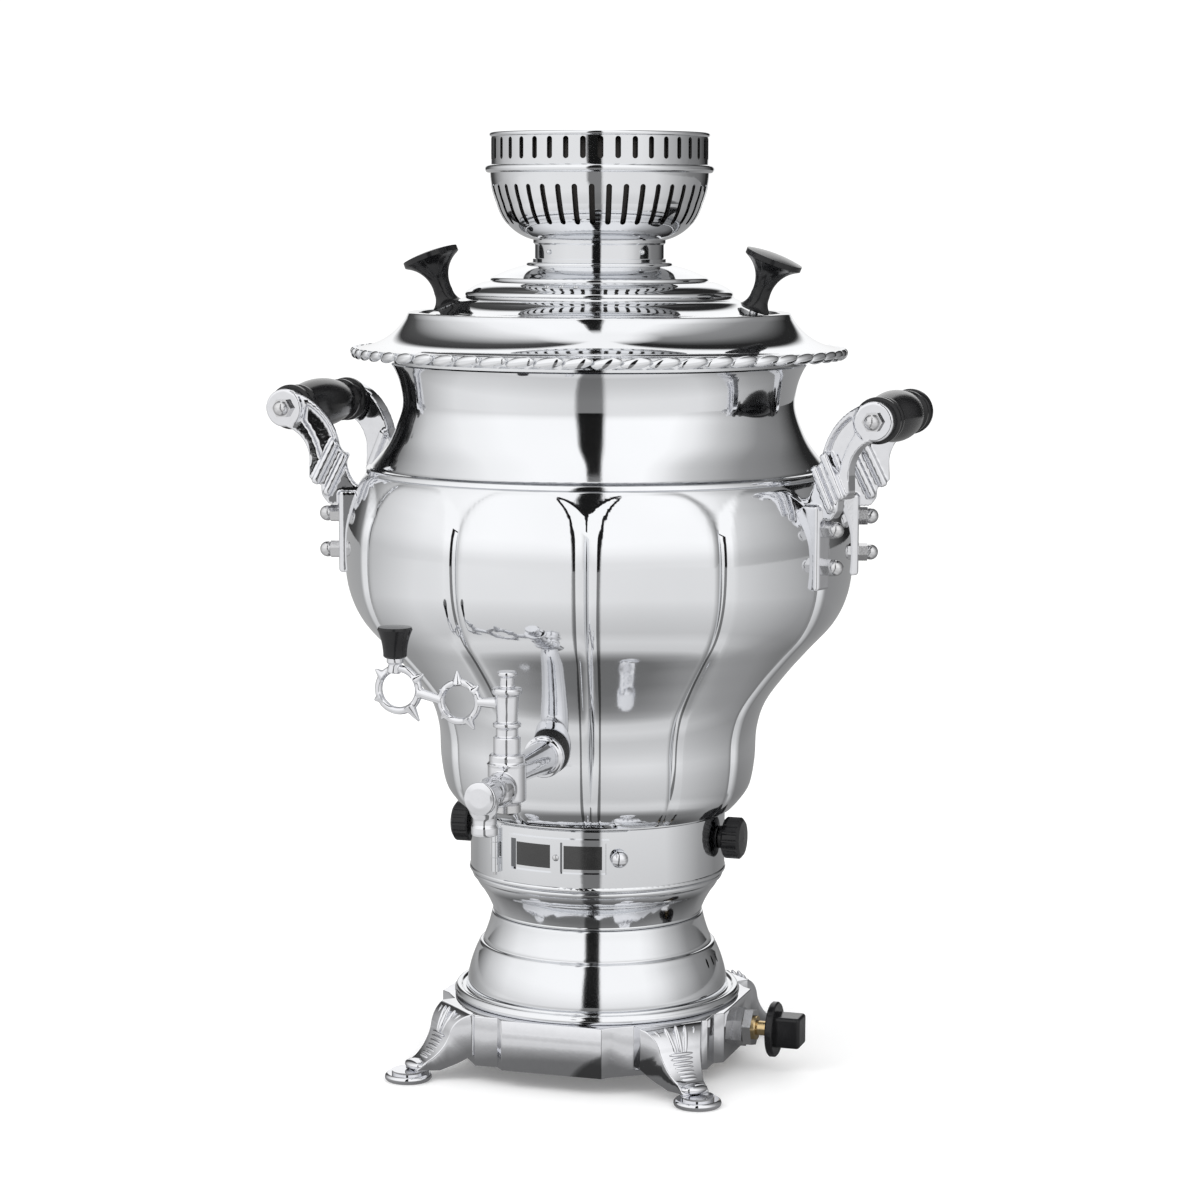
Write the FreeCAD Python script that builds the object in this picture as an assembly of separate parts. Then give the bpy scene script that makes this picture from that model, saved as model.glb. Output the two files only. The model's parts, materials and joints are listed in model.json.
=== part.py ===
import FreeCAD, Part
import math
import os

# Gas samovar with tap, lift-off lid and teapot stand.
# Millimetres. The origin is on the floor under the body's axis. +Z is up and -Y is the tap side.

os.makedirs("parts", exist_ok=True)

# Fits and small gaps
RUNNING = 0.05
SEAT = 0.3
LOOSE = 0.5

# Heights of the main seams
FOOT_H = 6.0
BASE_BOTTOM = 10.0
BASE_TOP = 39.0
DRUM_TOP = 88.0
NECK_TOP = 113.0
BAND_TOP = 152.0
SHOULDER_Z = 348.0
RIM_FOOT_Z = 409.0
RIM_TOP = 438.0
LID_CROWN_Z = 466.5
CROWN_TOP = 540.0

# Sheet walls
TANK_WALL = 1.5
SHEET = 1.2
CROWN_WALL = 1.4
LID_WALL = 1.3

# Base casting and legs
PANEL_REACH = 86.0
PANEL_HALF = 30.0
PANEL_PROUD = 5.0
CORNER_REACH = 91.0
CORNER_HALF = 20.0
BASE_WALL = 4.0
BASE_HOLE_R = 60.0
FOOT_REACH = 122.0
FOOT_R = 13.5
FOOT_RING_R = 9.5
ANKLE_HALF = 8.5

# Pedestal and firebox
FLANGE_R = 83.6
DRUM_FOOT_R = 76.0
DRUM_TIER_R = 67.8
DRUM_TIER_Z = 71.0
DRUM_TOP_R = 61.4
CUP_TOP_R = 72.6
BAND_R = 74.5
BEAD_R = 1.6
VENT_W = 1.8
VENT_LOW = 60.5
VENT_HIGH = 66.0
VENT_ANGLES = (80.0, 86.0, 92.0)

# Fire door
DOOR_SPAN = 31.0
DOOR_BOTTOM = 119.0
DOOR_TOP = 148.4
DOOR_GAP = 0.6
DOOR_SHEET = 1.2
FRAME_SPAN = 22.5
FRAME_PROUD = 2.2
FRAME_MARGIN = 4.0
PANE_FROM = 3.0
PANE_TO = 19.5
PANE_MARGIN = 8.0
PANE_THICK = 0.8
HINGE_PIN_R = 1.0
KNUCKLE_R = 2.3
DOOR_KNOB_R = 5.0
DOOR_KNOB_ANGLE = 26.6
MID_DOOR = (DOOR_BOTTOM + DOOR_TOP) / 2
DOOR_IN = BAND_R + DOOR_GAP
FRAME_LINE = 1.8
FRAME_LINE_SPAN = 1.4

# Tank
LOBES = 12
LOBE_TOP = 345.0
ARCH_R = 17.0
VALLEY_HALF = 3.6
VALLEY_DEPTH = 3.6
TANK_BOTTOM_R = 78.0
TANK_MOUTH_R = 106.0
FLUE_R = 34.0
FLUE_WALL = 1.2
FLUE_TOP = 474.0
BELL_R = 60.0

# Rim collar
RIM_R = 142.8
RIM_EDGE_Z = 415.0
RIM_RING_R = 109.7
RIM_WALL = 1.5
RIM_BORE_R = 104.0
LEDGE_R = 98.0
ROPE_R = 2.3

# Lid
LID_SEAT = RIM_TOP - 5.0
LID_R = RIM_BORE_R - LOOSE
LID_KNOB_X = 92.0
LID_KNOB_LEAN = 21.0
LID_KNOB_LENGTH = 34.0
LID_KNOB_R = 16.5
LID_KNOB_NECK_R = 5.5
STEAM_HOLE_R = 1.6

# Crown
COLLAR_R = 37.2
CROWN_RING_R = 62.3
CROWN_BEAD_R = 65.8
CROWN_BEAD_Z = 519.0
SLOTS = 40
SLOT_W = 3.2
UPPER_SLOT = (524.5, 536.8)
LOWER_SLOT = (488.0, 510.5)
PIP_R = 1.5
PIP_ANGLE = -32.0

# Tap
TAP_Y = -161.0
TAP_Z = 195.0
TAP_BARREL_R = 10.4
TAP_PLUG_R = 6.0
SPOUT_REACH = 35.5
SPOUT_R = 7.2
SPOUT_END_Z = 169.0
SPOUT_BORE_R = 4.6
SHANK_THREAD_R = 6.0
GASKET_R = 11.8
GASKET_SEAT = 94.5
KEY_Z = 234.0
TAP_KNOB_Z = KEY_Z + 22.0
KEY_THICK = 5.0
KEY_RING_X = -27.0
KEY_RING_R = 11.6
KEY_RING_HOLE = 7.6
KEY_LOOP_X = -53.0
TAP_KNOB_X = -64.0

# Side handles
HANDLE_X = 174.0
HANDLE_Z = 382.0
BRACKET_Y = 50.0
BRACKET_T = 8.0
ARM_TURN = 18.0
ARM_SHIFT = 1.5
ARM_SPAN = 38.0
RIDGE_LEAN = 26.0
RIDGE_PROUD = 3.5
EYE_R = 11.0
EYE_PROUD = 0.5
GRIP_R = 14.5
ROD_R = 3.0
DOME_AF = 10.0
NUT_FACE = BRACKET_Y + BRACKET_T / 2 + EYE_PROUD
STUD_R = 2.5
STUD_NUT_AF = 9.0
STUD_HEIGHTS = (300.0, 321.0)
INNER_SEATS = (139.2, 136.2)
FOOT_FACE = 150.5
FOOT_WIDTH = 14.0
ARM_END_X = HANDLE_X - ARM_SPAN * math.cos(math.radians(ARM_TURN))
ARM_END_Y = BRACKET_Y + ARM_SHIFT - ARM_SPAN * math.sin(math.radians(ARM_TURN))
STUD_ANGLE = math.degrees(math.atan2(ARM_END_Y, ARM_END_X))

# Thumb screws
THUMB_Z = 135.5
THUMB_R = 12.0
THUMB_T = 11.0
THUMB_SHANK_R = 3.0

# Gas fittings
VALVE_Z = 24.0
VALVE_THREAD_R = 7.0
VALVE_NUT_AF = 20.0
VALVE_NUT_T = 5.0
VALVE_STEM_R = 4.2
VALVE_DISC_R = 16.0
TUBE_R = 5.0
STEM_END = PANEL_REACH + 2 * VALVE_NUT_T + 9
DISC_X = STEM_END + 1
BURNER_R = 36.0
BURNER_Z = 96.0

UP = FreeCAD.Vector(0, 0, 1)
ORIGIN = FreeCAD.Vector(0, 0, 0)


def vec(x, y, z):
    return FreeCAD.Vector(x, y, z)


def save(name, shape):
    shape.exportStep("parts/" + name + ".step")


def group(shapes):
    return Part.makeCompound(shapes)


def outline(points):
    """Closed wire in the XZ plane. An item of two points is an arc: its middle, then its end."""
    edges = []
    here = points[0]
    for item in list(points[1:]) + [points[0]]:
        if isinstance(item[0], tuple):
            middle, end = item
            ends = [vec(p[0], 0, p[1]) for p in (here, middle, end)]
            edges.append(Part.Arc(*ends).toShape())
        else:
            end = item
            if math.dist(here, end) > 1e-6:
                edges.append(Part.LineSegment(vec(here[0], 0, here[1]), vec(end[0], 0, end[1])).toShape())
        here = end
    return Part.Wire(edges)


def turned(points):
    """Solid of revolution about Z from an outline of (radius, height) points."""
    return Part.Face(outline(points)).revolve(ORIGIN, UP, 360)


def placed(shape, base, axis=UP, spin=0.0):
    """Copy of a shape made about +Z, laid along an axis from a base point."""
    turn = FreeCAD.Rotation(UP, axis).multiply(FreeCAD.Rotation(UP, spin))
    copy = shape.copy()
    copy.Placement = FreeCAD.Placement(base, turn).multiply(copy.Placement)
    return copy


def spun(shape, degrees):
    copy = shape.copy()
    copy.rotate(ORIGIN, UP, degrees)
    return copy


def mirrored_x(shape):
    return shape.mirror(ORIGIN, vec(1, 0, 0))


def mirrored_y(shape):
    return shape.mirror(ORIGIN, vec(0, 1, 0))


def rod(radius, start, end):
    axis = end - start
    return Part.makeCylinder(radius, axis.Length, start, axis)


def hexagon(across_flats, height, bore=0.0):
    """Hexagonal prism on Z with its lower face at the origin."""
    radius = across_flats / math.sqrt(3)
    corners = [vec(radius * math.cos(math.radians(60 * i)), radius * math.sin(math.radians(60 * i)), 0)
               for i in range(7)]
    prism = Part.Face(Part.makePolygon(corners)).extrude(vec(0, 0, height))
    if bore > 0:
        prism = prism.cut(Part.makeCylinder(bore, height))
    return prism


def dome_nut(across_flats, height, bore, depth):
    """Acorn nut with a blind bore from its lower face."""
    hex_height = height * 0.45
    dome_r = across_flats * 0.46
    cap = turned([(0, hex_height), (dome_r, hex_height), dome(dome_r, hex_height, height - hex_height)])
    nut = hexagon(across_flats, hex_height).fuse(cap)
    return nut.cut(Part.makeCylinder(bore, depth))


def dome(radius, z, height):
    """Arc item for a round cap: from (radius, z) over to the axis."""
    ball = (radius ** 2 + height ** 2) / (2 * height)
    half = math.asin(min(1.0, radius / ball)) / 2
    return ((ball * math.sin(half), z + height - ball + ball * math.cos(half)), (0, z + height))


def sector(inner, outer, bottom, top, start, end):
    """Part of a ring between two angles, measured in degrees from the front (-Y) toward +X."""
    ring = turned([(inner, bottom), (outer, bottom), (outer, top), (inner, top)])
    low = math.radians(start - 90)
    high = math.radians(end - 90)
    far = outer * 3
    middle = (low + high) / 2
    corners = [ORIGIN,
               vec(far * math.cos(low), far * math.sin(low), 0),
               vec(far * 1.5 * math.cos(middle), far * 1.5 * math.sin(middle), 0),
               vec(far * math.cos(high), far * math.sin(high), 0),
               ORIGIN]
    wedge = Part.Face(Part.makePolygon(corners)).extrude(vec(0, 0, top - bottom))
    wedge.translate(vec(0, 0, bottom))
    return ring.common(wedge)


def front_point(radius, angle, z):
    """Point at an angle in degrees from the front, turning toward +X."""
    turn = math.radians(angle)
    return vec(radius * math.sin(turn), -radius * math.cos(turn), z)


def slot_cutter(width, low, high, near, far):
    """Upright bar with round ends that reaches out along +X."""
    half = width / 2
    a = vec(near, -half, low + half)
    b = vec(near, -half, high - half)
    c = vec(near, half, high - half)
    d = vec(near, half, low + half)
    edges = [Part.LineSegment(a, b).toShape(), Part.Arc(b, vec(near, 0, high), c).toShape(),
             Part.LineSegment(c, d).toShape(), Part.Arc(d, vec(near, 0, low), a).toShape()]
    return Part.Face(Part.Wire(edges)).extrude(vec(far - near, 0, 0))


# Base casting

def base_plan(shrink):
    """Eight-sided plan of the base: four proud panels and four chamfered corners."""
    reach = PANEL_REACH - shrink
    half = PANEL_HALF - shrink / 2
    recess = reach - PANEL_PROUD
    diagonal = (CORNER_REACH - shrink) * math.sqrt(2)
    side = diagonal - recess
    corners = []
    for quarter in range(4):
        turn = FreeCAD.Rotation(UP, 90 * quarter)
        for x, y in ((-side, -recess), (-half - 4, -recess), (-half, -reach),
                     (half, -reach), (half + 4, -recess)):
            corners.append(turn.multVec(vec(x, y, 0)))
    return Part.Face(Part.makePolygon(corners + corners[:1]))


def prism(face, bottom, top):
    solid = face.extrude(vec(0, 0, top - bottom))
    solid.translate(vec(0, 0, bottom))
    return solid


def leg():
    """Cabriole leg on the +X axis: side profile cut to a plan that narrows to the ankle."""
    root = CORNER_REACH - BASE_WALL - 6
    side = outline([(root, BASE_TOP), (CORNER_REACH, BASE_TOP),
                    ((CORNER_REACH + 7, BASE_TOP - 4), (CORNER_REACH + 11, BASE_TOP - 12)),
                    ((CORNER_REACH + 15, BASE_TOP - 20), (FOOT_REACH - 7, FOOT_H + 5)),
                    (FOOT_REACH - 2, FOOT_H + 1.5), (FOOT_REACH - 2, FOOT_H), (FOOT_REACH - 15, FOOT_H),
                    ((CORNER_REACH + 9, FOOT_H + 3), (CORNER_REACH, BASE_BOTTOM + 5)),
                    (root, BASE_BOTTOM + 5)])
    width = CORNER_HALF + 4
    blank = Part.Face(side).extrude(vec(0, 2 * width, 0))
    blank.translate(vec(0, -width, 0))
    waist_x = CORNER_REACH + 12
    plan = [(root, CORNER_HALF), (CORNER_REACH, CORNER_HALF), (waist_x, ANKLE_HALF + 4),
            (FOOT_REACH - 8, ANKLE_HALF), (FOOT_REACH, ANKLE_HALF)]
    corners = [vec(x, y, 0) for x, y in plan] + [vec(x, -y, 0) for x, y in reversed(plan)]
    cutter = prism(Part.Face(Part.makePolygon(corners + corners[:1])), 0, BASE_TOP + 1)
    return blank.common(cutter)


def base_casting():
    body = prism(base_plan(0), BASE_BOTTOM, BASE_TOP)
    for quarter in range(4):
        body = body.fuse(spun(leg(), 45 + 90 * quarter))
    body = body.cut(prism(base_plan(BASE_WALL), BASE_BOTTOM - 1, BASE_TOP - BASE_WALL))
    body = body.cut(Part.makeCylinder(BASE_HOLE_R, BASE_WALL + 2, vec(0, 0, BASE_TOP - BASE_WALL - 1)))
    valve_hole = rod(VALVE_THREAD_R + RUNNING, vec(PANEL_REACH - 12, 0, VALVE_Z), vec(PANEL_REACH + 2, 0, VALVE_Z))
    inlet_hole = rod(TUBE_R + RUNNING, vec(0, PANEL_REACH - 12, VALVE_Z), vec(0, PANEL_REACH + 2, VALVE_Z))
    body = body.cut(valve_hole).cut(inlet_hole)
    return body.removeSplitter()


def foot_pad():
    """Round foot: a rolled pad with a ring above it, standing under the leg's end."""
    lip = FOOT_H * 0.25
    pad = turned([(0, 0), (FOOT_R - lip, 0), ((FOOT_R, FOOT_H * 0.35), (FOOT_R - lip, FOOT_H * 0.7)),
                  (FOOT_RING_R, FOOT_H * 0.7), (FOOT_RING_R, FOOT_H), (0, FOOT_H)])
    return pad


# Pedestal

def pedestal_drum():
    """Two-tier drum with a rolled flange and three small vents on the valve side."""
    foot = BASE_TOP
    inner_foot = DRUM_FOOT_R - SHEET
    drum = turned([(FLANGE_R - 3, foot), ((FLANGE_R, foot + 2.6), (FLANGE_R - 3, foot + 5)),
                   (DRUM_FOOT_R + 1.5, foot + 6),
                   ((DRUM_FOOT_R - 3, foot + 20), (DRUM_TIER_R + 1.6, DRUM_TIER_Z - 2)),
                   ((DRUM_TIER_R + 0.3, DRUM_TIER_Z), (DRUM_TIER_R - 0.6, DRUM_TIER_Z + 1)),
                   ((DRUM_TOP_R + 2.4, (DRUM_TIER_Z + DRUM_TOP) / 2), (DRUM_TOP_R, DRUM_TOP)),
                   (DRUM_TOP_R - 5, DRUM_TOP), (DRUM_TOP_R - 5, DRUM_TOP - SHEET),
                   (DRUM_TOP_R - SHEET, DRUM_TOP - SHEET),
                   ((DRUM_TOP_R + 2.2 - SHEET, (DRUM_TIER_Z + DRUM_TOP) / 2),
                    (DRUM_TIER_R - 0.6 - SHEET, DRUM_TIER_Z)),
                   ((inner_foot - 3, foot + 20), (inner_foot, foot + 4)), (inner_foot, foot)])
    vent = slot_cutter(VENT_W, VENT_LOW, VENT_HIGH, DRUM_TIER_R - 4, FLANGE_R)
    return drum.cut([spun(vent, angle - 90) for angle in VENT_ANGLES])


def pedestal_neck():
    rise = NECK_TOP - DRUM_TOP
    middle_z = DRUM_TOP + rise * 0.55
    return turned([(DRUM_TOP_R - 5, DRUM_TOP), (DRUM_TOP_R - 0.6, DRUM_TOP), (DRUM_TOP_R - 0.6, DRUM_TOP + 3),
                   ((DRUM_TOP_R + 5.4, middle_z), (CUP_TOP_R, NECK_TOP)),
                   (CUP_TOP_R - 6, NECK_TOP), (CUP_TOP_R - 6, NECK_TOP - SHEET),
                   (CUP_TOP_R - 2 * SHEET, NECK_TOP - SHEET),
                   ((DRUM_TOP_R + 5.4 - 1.4 * SHEET, middle_z), (DRUM_TOP_R - 0.6 - SHEET, DRUM_TOP + 3)),
                   (DRUM_TOP_R - 0.6 - SHEET, DRUM_TOP + SHEET), (DRUM_TOP_R - 5, DRUM_TOP + SHEET)])


# Firebox

HINGE_ANGLE = -DOOR_SPAN
HINGE_RADIUS = BAND_R + KNUCKLE_R + 1.0
HINGE_FOOT = front_point(HINGE_RADIUS, HINGE_ANGLE, DOOR_BOTTOM)
KNUCKLE_SPLITS = (DOOR_BOTTOM + 2, DOOR_BOTTOM + 10, DOOR_TOP - 10, DOOR_TOP - 2)


def firebox_band():
    inner = BAND_R - SHEET
    bead = turned([(inner, BAND_TOP - 2 * BEAD_R), (BAND_R, BAND_TOP - 2 * BEAD_R),
                   ((BAND_R + BEAD_R, BAND_TOP - BEAD_R), (BAND_R, BAND_TOP)), (inner, BAND_TOP)])
    roll = turned([(inner - 2, NECK_TOP), (BAND_R - 0.8, NECK_TOP),
                   ((BAND_R + 0.6, NECK_TOP + 1.5), (BAND_R, NECK_TOP + 3)),
                   (inner, NECK_TOP + 3), (inner - 2, NECK_TOP + SHEET)])
    wall = turned([(inner, NECK_TOP + 2), (BAND_R, NECK_TOP + 2), (BAND_R, BAND_TOP - 1), (inner, BAND_TOP - 1)])
    band = wall.fuse([bead, roll])
    mouth = sector(inner - 3, BAND_R + 3, DOOR_BOTTOM + 4, DOOR_TOP - 4, -DOOR_SPAN + 5, DOOR_SPAN - 5)
    band = band.cut(mouth)
    for side in (-1, 1):
        inside = vec(side * (inner - 3), 0, THUMB_Z)
        outside = vec(side * (BAND_R + 3), 0, THUMB_Z)
        band = band.cut(rod(THUMB_SHANK_R + RUNNING, inside, outside))
    leaf_low = KNUCKLE_SPLITS[1] + SEAT
    leaf_high = KNUCKLE_SPLITS[2] - SEAT
    leaf = sector(BAND_R - 0.2, BAND_R + SHEET, leaf_low, leaf_high, HINGE_ANGLE - 6, HINGE_ANGLE)
    knuckle = Part.makeCylinder(KNUCKLE_R, leaf_high - leaf_low, vec(HINGE_FOOT.x, HINGE_FOOT.y, leaf_low))
    bore = Part.makeCylinder(HINGE_PIN_R, DOOR_TOP - DOOR_BOTTOM, HINGE_FOOT)
    clear = Part.makeCylinder(BAND_R - 0.2, DOOR_TOP, vec(0, 0, DOOR_BOTTOM / 2))
    return band.fuse(leaf.fuse(knuckle).cut(clear)).cut(bore).removeSplitter()


def pane_cuts(inner, outer, margin):
    """The two window shapes, as ring sectors each side of the centre bar."""
    cuts = []
    for low, high in ((-PANE_TO, -PANE_FROM), (PANE_FROM, PANE_TO)):
        cuts.append(sector(inner, outer, DOOR_BOTTOM + margin, DOOR_TOP - margin, low, high))
    return cuts


def firebox_door():
    sheet = sector(DOOR_IN, DOOR_IN + DOOR_SHEET, DOOR_BOTTOM, DOOR_TOP, -DOOR_SPAN + 2.5, DOOR_SPAN)
    frame = sector(DOOR_IN + DOOR_SHEET / 2, DOOR_IN + DOOR_SHEET + FRAME_PROUD,
                   DOOR_BOTTOM + FRAME_MARGIN, DOOR_TOP - FRAME_MARGIN, -FRAME_SPAN, FRAME_SPAN)
    door = sheet.fuse(frame)
    low = DOOR_BOTTOM + FRAME_MARGIN + FRAME_LINE
    high = DOOR_TOP - FRAME_MARGIN - FRAME_LINE
    edge = FRAME_SPAN - FRAME_LINE_SPAN
    bar = PANE_FROM - 1
    for start, end in ((-edge, -bar), (bar, edge)):
        door = door.cut(sector(DOOR_IN + DOOR_SHEET, DOOR_IN + FRAME_PROUD + 5, low, high, start, end))
    for cut in pane_cuts(DOOR_IN - 1, DOOR_IN + FRAME_PROUD + 5, PANE_MARGIN):
        door = door.cut(cut)
    bore = Part.makeCylinder(HINGE_PIN_R + RUNNING, DOOR_TOP - DOOR_BOTTOM, HINGE_FOOT)
    for low, high in (KNUCKLE_SPLITS[:2], KNUCKLE_SPLITS[2:]):
        knuckle = Part.makeCylinder(KNUCKLE_R, high - low, vec(HINGE_FOOT.x, HINGE_FOOT.y, low))
        web = sector(DOOR_IN, DOOR_IN + DOOR_SHEET, low, high, -DOOR_SPAN, -DOOR_SPAN + 4)
        door = door.fuse([knuckle, web])
    screw = rod(THUMB_SHANK_R / 3, front_point(DOOR_IN - 2, 0, MID_DOOR), front_point(DOOR_IN + 8, 0, MID_DOOR))
    stem = rod(THUMB_SHANK_R / 2, front_point(DOOR_IN - 2, DOOR_KNOB_ANGLE, MID_DOOR),
               front_point(DOOR_IN + 8, DOOR_KNOB_ANGLE, MID_DOOR))
    return door.cut(bore).cut(screw).cut(stem).removeSplitter()


def door_windows():
    return group(pane_cuts(DOOR_IN + DOOR_SHEET - PANE_THICK, DOOR_IN + DOOR_SHEET, PANE_MARGIN))


def door_knob():
    """Dome pull knob with a short riveted stem through the door sheet."""
    face = DOOR_IN + DOOR_SHEET
    stem_r = THUMB_SHANK_R / 2
    knob = turned([(0, -DOOR_SHEET), (stem_r, -DOOR_SHEET), (stem_r, 2.5), (DOOR_KNOB_R, 3),
                   (DOOR_KNOB_R, 3.6), dome(DOOR_KNOB_R, 3.6, DOOR_KNOB_R * 0.8)])
    base = front_point(face, DOOR_KNOB_ANGLE, MID_DOOR)
    return placed(knob, base, vec(base.x, base.y, 0))


def door_screw():
    face = DOOR_IN + DOOR_SHEET + FRAME_PROUD
    stem_r = THUMB_SHANK_R / 3
    screw = turned([(0, -FRAME_PROUD), (stem_r, -FRAME_PROUD), (stem_r, 0), (2 * stem_r, 0),
                    dome(2 * stem_r, 0, 1.3)])
    return placed(screw, front_point(face, 0, MID_DOOR), vec(0, -1, 0))


def door_hinge_pin():
    head = Part.makeCylinder(HINGE_PIN_R + 0.7, 1.0, HINGE_FOOT + vec(0, 0, DOOR_TOP - DOOR_BOTTOM - 1.5))
    pin = Part.makeCylinder(HINGE_PIN_R, DOOR_TOP - DOOR_BOTTOM - 1, HINGE_FOOT)
    return pin.fuse(head)


# Burner and gas line

def burner_head():
    """Cast ring burner: a cup that slips over the mixing tube, with a rim of ports."""
    socket = TUBE_R * 2
    head = turned([(socket, BURNER_Z - 22), (socket + 3, BURNER_Z - 22), (socket + 3, BURNER_Z - 12),
                   ((BURNER_R - 6, BURNER_Z - 8), (BURNER_R, BURNER_Z)), (BURNER_R, BURNER_Z + 7),
                   (BURNER_R - 7, BURNER_Z + 12), (0, BURNER_Z + 12), (0, BURNER_Z + 8),
                   (BURNER_R - 9, BURNER_Z + 7), (BURNER_R - 4, BURNER_Z + 3),
                   (BURNER_R - 5, BURNER_Z + 1), (socket, BURNER_Z - 7)])
    ports = 20
    for i in range(ports):
        angle = math.radians(360 / ports * i)
        out = vec(math.cos(angle), math.sin(angle), 0)
        lift = vec(0, 0, BURNER_Z + 5)
        head = head.cut(rod(1.0, out * (BURNER_R - 8) + lift, out * (BURNER_R + 2) + lift))
    return head


def burner_tube():
    """Wide mixing tube under the head, fed by a bent pipe from the valve."""
    bend = 18.0
    mixer = turned([(TUBE_R, VALVE_Z + bend), (TUBE_R * 2, VALVE_Z + bend + 8), (TUBE_R * 2, BURNER_Z - 12),
                    (TUBE_R * 2 - 2, BURNER_Z - 12), (TUBE_R * 2 - 2, VALVE_Z + bend + 9),
                    (TUBE_R - 1.2, VALVE_Z + bend + 1), (TUBE_R - 1.2, VALVE_Z + bend)])
    collar = turned([(TUBE_R * 2, BURNER_Z - 24), (TUBE_R * 2 + 2.5, BURNER_Z - 24),
                     (TUBE_R * 2 + 2.5, BURNER_Z - 22), (TUBE_R * 2, BURNER_Z - 22)])
    corner = vec(bend, 0, VALVE_Z)
    start = vec(PANEL_REACH - 22, 0, VALVE_Z)
    centre = vec(bend, 0, VALVE_Z + bend)
    middle = centre + vec(-bend * math.sin(math.pi / 4), 0, -bend * math.cos(math.pi / 4))
    path = Part.Wire([Part.LineSegment(start, corner).toShape(),
                      Part.Arc(corner, middle, vec(0, 0, VALVE_Z + bend)).toShape()])
    outer = path.makePipeShell([Part.Wire(Part.makeCircle(TUBE_R, start, vec(1, 0, 0)))], True, True)
    inner = path.makePipeShell([Part.Wire(Part.makeCircle(TUBE_R - 1.2, start, vec(1, 0, 0)))], True, True)
    return outer.cut(inner).fuse([mixer, collar])


def gas_valve_body():
    """Valve block inside the base with a threaded snout through the side panel."""
    inner_face = PANEL_REACH - BASE_WALL
    snout = rod(VALVE_THREAD_R, vec(inner_face - 8, 0, VALVE_Z), vec(PANEL_REACH + 2 * VALVE_NUT_T + 2, 0, VALVE_Z))
    block = Part.makeBox(14, 20, 20, vec(inner_face - 18, -10, VALVE_Z - 10))
    body = block.fuse(snout)
    bore = rod(VALVE_STEM_R + RUNNING, vec(inner_face - 4, 0, VALVE_Z), vec(PANEL_REACH + 20, 0, VALVE_Z))
    feed = rod(TUBE_R - 1.2, vec(inner_face - 19, 0, VALVE_Z), vec(inner_face - 10, 0, VALVE_Z))
    side = rod(TUBE_R - 2.2, vec(inner_face - 11, 0, VALVE_Z), vec(inner_face - 11, 11, VALVE_Z))
    return body.cut(bore).cut(feed).cut(side)


def gas_valve_nuts():
    nut = hexagon(VALVE_NUT_AF, VALVE_NUT_T, VALVE_THREAD_R)
    inner = placed(nut, vec(PANEL_REACH, 0, VALVE_Z), vec(1, 0, 0))
    outer = placed(nut, vec(PANEL_REACH + VALVE_NUT_T + SEAT, 0, VALVE_Z), vec(1, 0, 0), 17)
    return group([inner, outer])


def gas_valve_stem():
    start = PANEL_REACH - BASE_WALL - 4 + SEAT
    return rod(VALVE_STEM_R, vec(start, 0, VALVE_Z), vec(DISC_X + 8, 0, VALVE_Z))


def gas_valve_knob():
    """Round disc with a bevelled bar grip."""
    disc = turned([(0, 0), (VALVE_DISC_R - 0.8, 0), (VALVE_DISC_R, 0.8), (VALVE_DISC_R, 3.4),
                   (VALVE_DISC_R - 0.8, 4.2), (0, 4.2)])
    grip_len = 15.0
    grip = Part.makeBox(18, 17, grip_len, vec(-9, -8.5, 4))
    grip = grip.makeFillet(2.0, [e for e in grip.Edges if e.BoundBox.ZLength > 1 or e.BoundBox.ZMin > 4.5])
    knob = disc.fuse(grip).cut(Part.makeCylinder(VALVE_STEM_R, 8))
    return placed(knob, vec(DISC_X, 0, VALVE_Z), vec(1, 0, 0))


def gas_inlet_barb():
    """Hose tail through the back panel with three barbs and a shoulder inside."""
    face = PANEL_REACH
    points = [(0, -10), (TUBE_R, -10), (TUBE_R, VALVE_NUT_T + 1), (3.4, VALVE_NUT_T + 1)]
    for i in range(3):
        z = VALVE_NUT_T + 3 + 5 * i
        points += [(3.4, z), (4.6, z), (3.4, z + 4)]
    points += [(3.4, VALVE_NUT_T + 19), (0, VALVE_NUT_T + 19)]
    barb = turned(points)
    shoulder = Part.makeCylinder(TUBE_R + 3, 4, vec(0, 0, -BASE_WALL - 4))
    barb = barb.fuse(shoulder).cut(Part.makeCylinder(2.0, 60, vec(0, 0, -20)))
    return placed(barb, vec(0, face, VALVE_Z), vec(0, 1, 0))


def gas_inlet_nut():
    nut = hexagon(14.0, VALVE_NUT_T, TUBE_R)
    return placed(nut, vec(0, PANEL_REACH, VALVE_Z), vec(0, 1, 0))


def gas_feed_tube():
    """Small tube from the inlet to the side port of the valve block."""
    r = TUBE_R - 2.2
    port = vec(PANEL_REACH - BASE_WALL - 11, 10, VALVE_Z)
    inlet = vec(0, PANEL_REACH - 10, VALVE_Z)
    bend = 18.0
    across = vec(bend, 44, VALVE_Z)
    corner = vec(port.x, across.y, VALVE_Z)
    a = vec(port.x, corner.y - bend, VALVE_Z)
    b = vec(port.x - bend, corner.y, VALVE_Z)
    mid_1 = vec(port.x - bend, corner.y - bend, VALVE_Z) + vec(bend, bend, 0) * math.sin(math.pi / 4)
    c = across
    d = vec(0, across.y + bend, VALVE_Z)
    mid_2 = vec(bend, across.y + bend, VALVE_Z) - vec(bend, bend, 0) * math.sin(math.pi / 4)
    path = Part.Wire([Part.LineSegment(port, a).toShape(), Part.Arc(a, mid_1, b).toShape(),
                      Part.LineSegment(b, c).toShape(), Part.Arc(c, mid_2, d).toShape(),
                      Part.LineSegment(d, inlet).toShape()])
    return path.makePipeShell([Part.Wire(Part.makeCircle(r, port, vec(0, 1, 0)))], True, True)


# Tank

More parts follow.
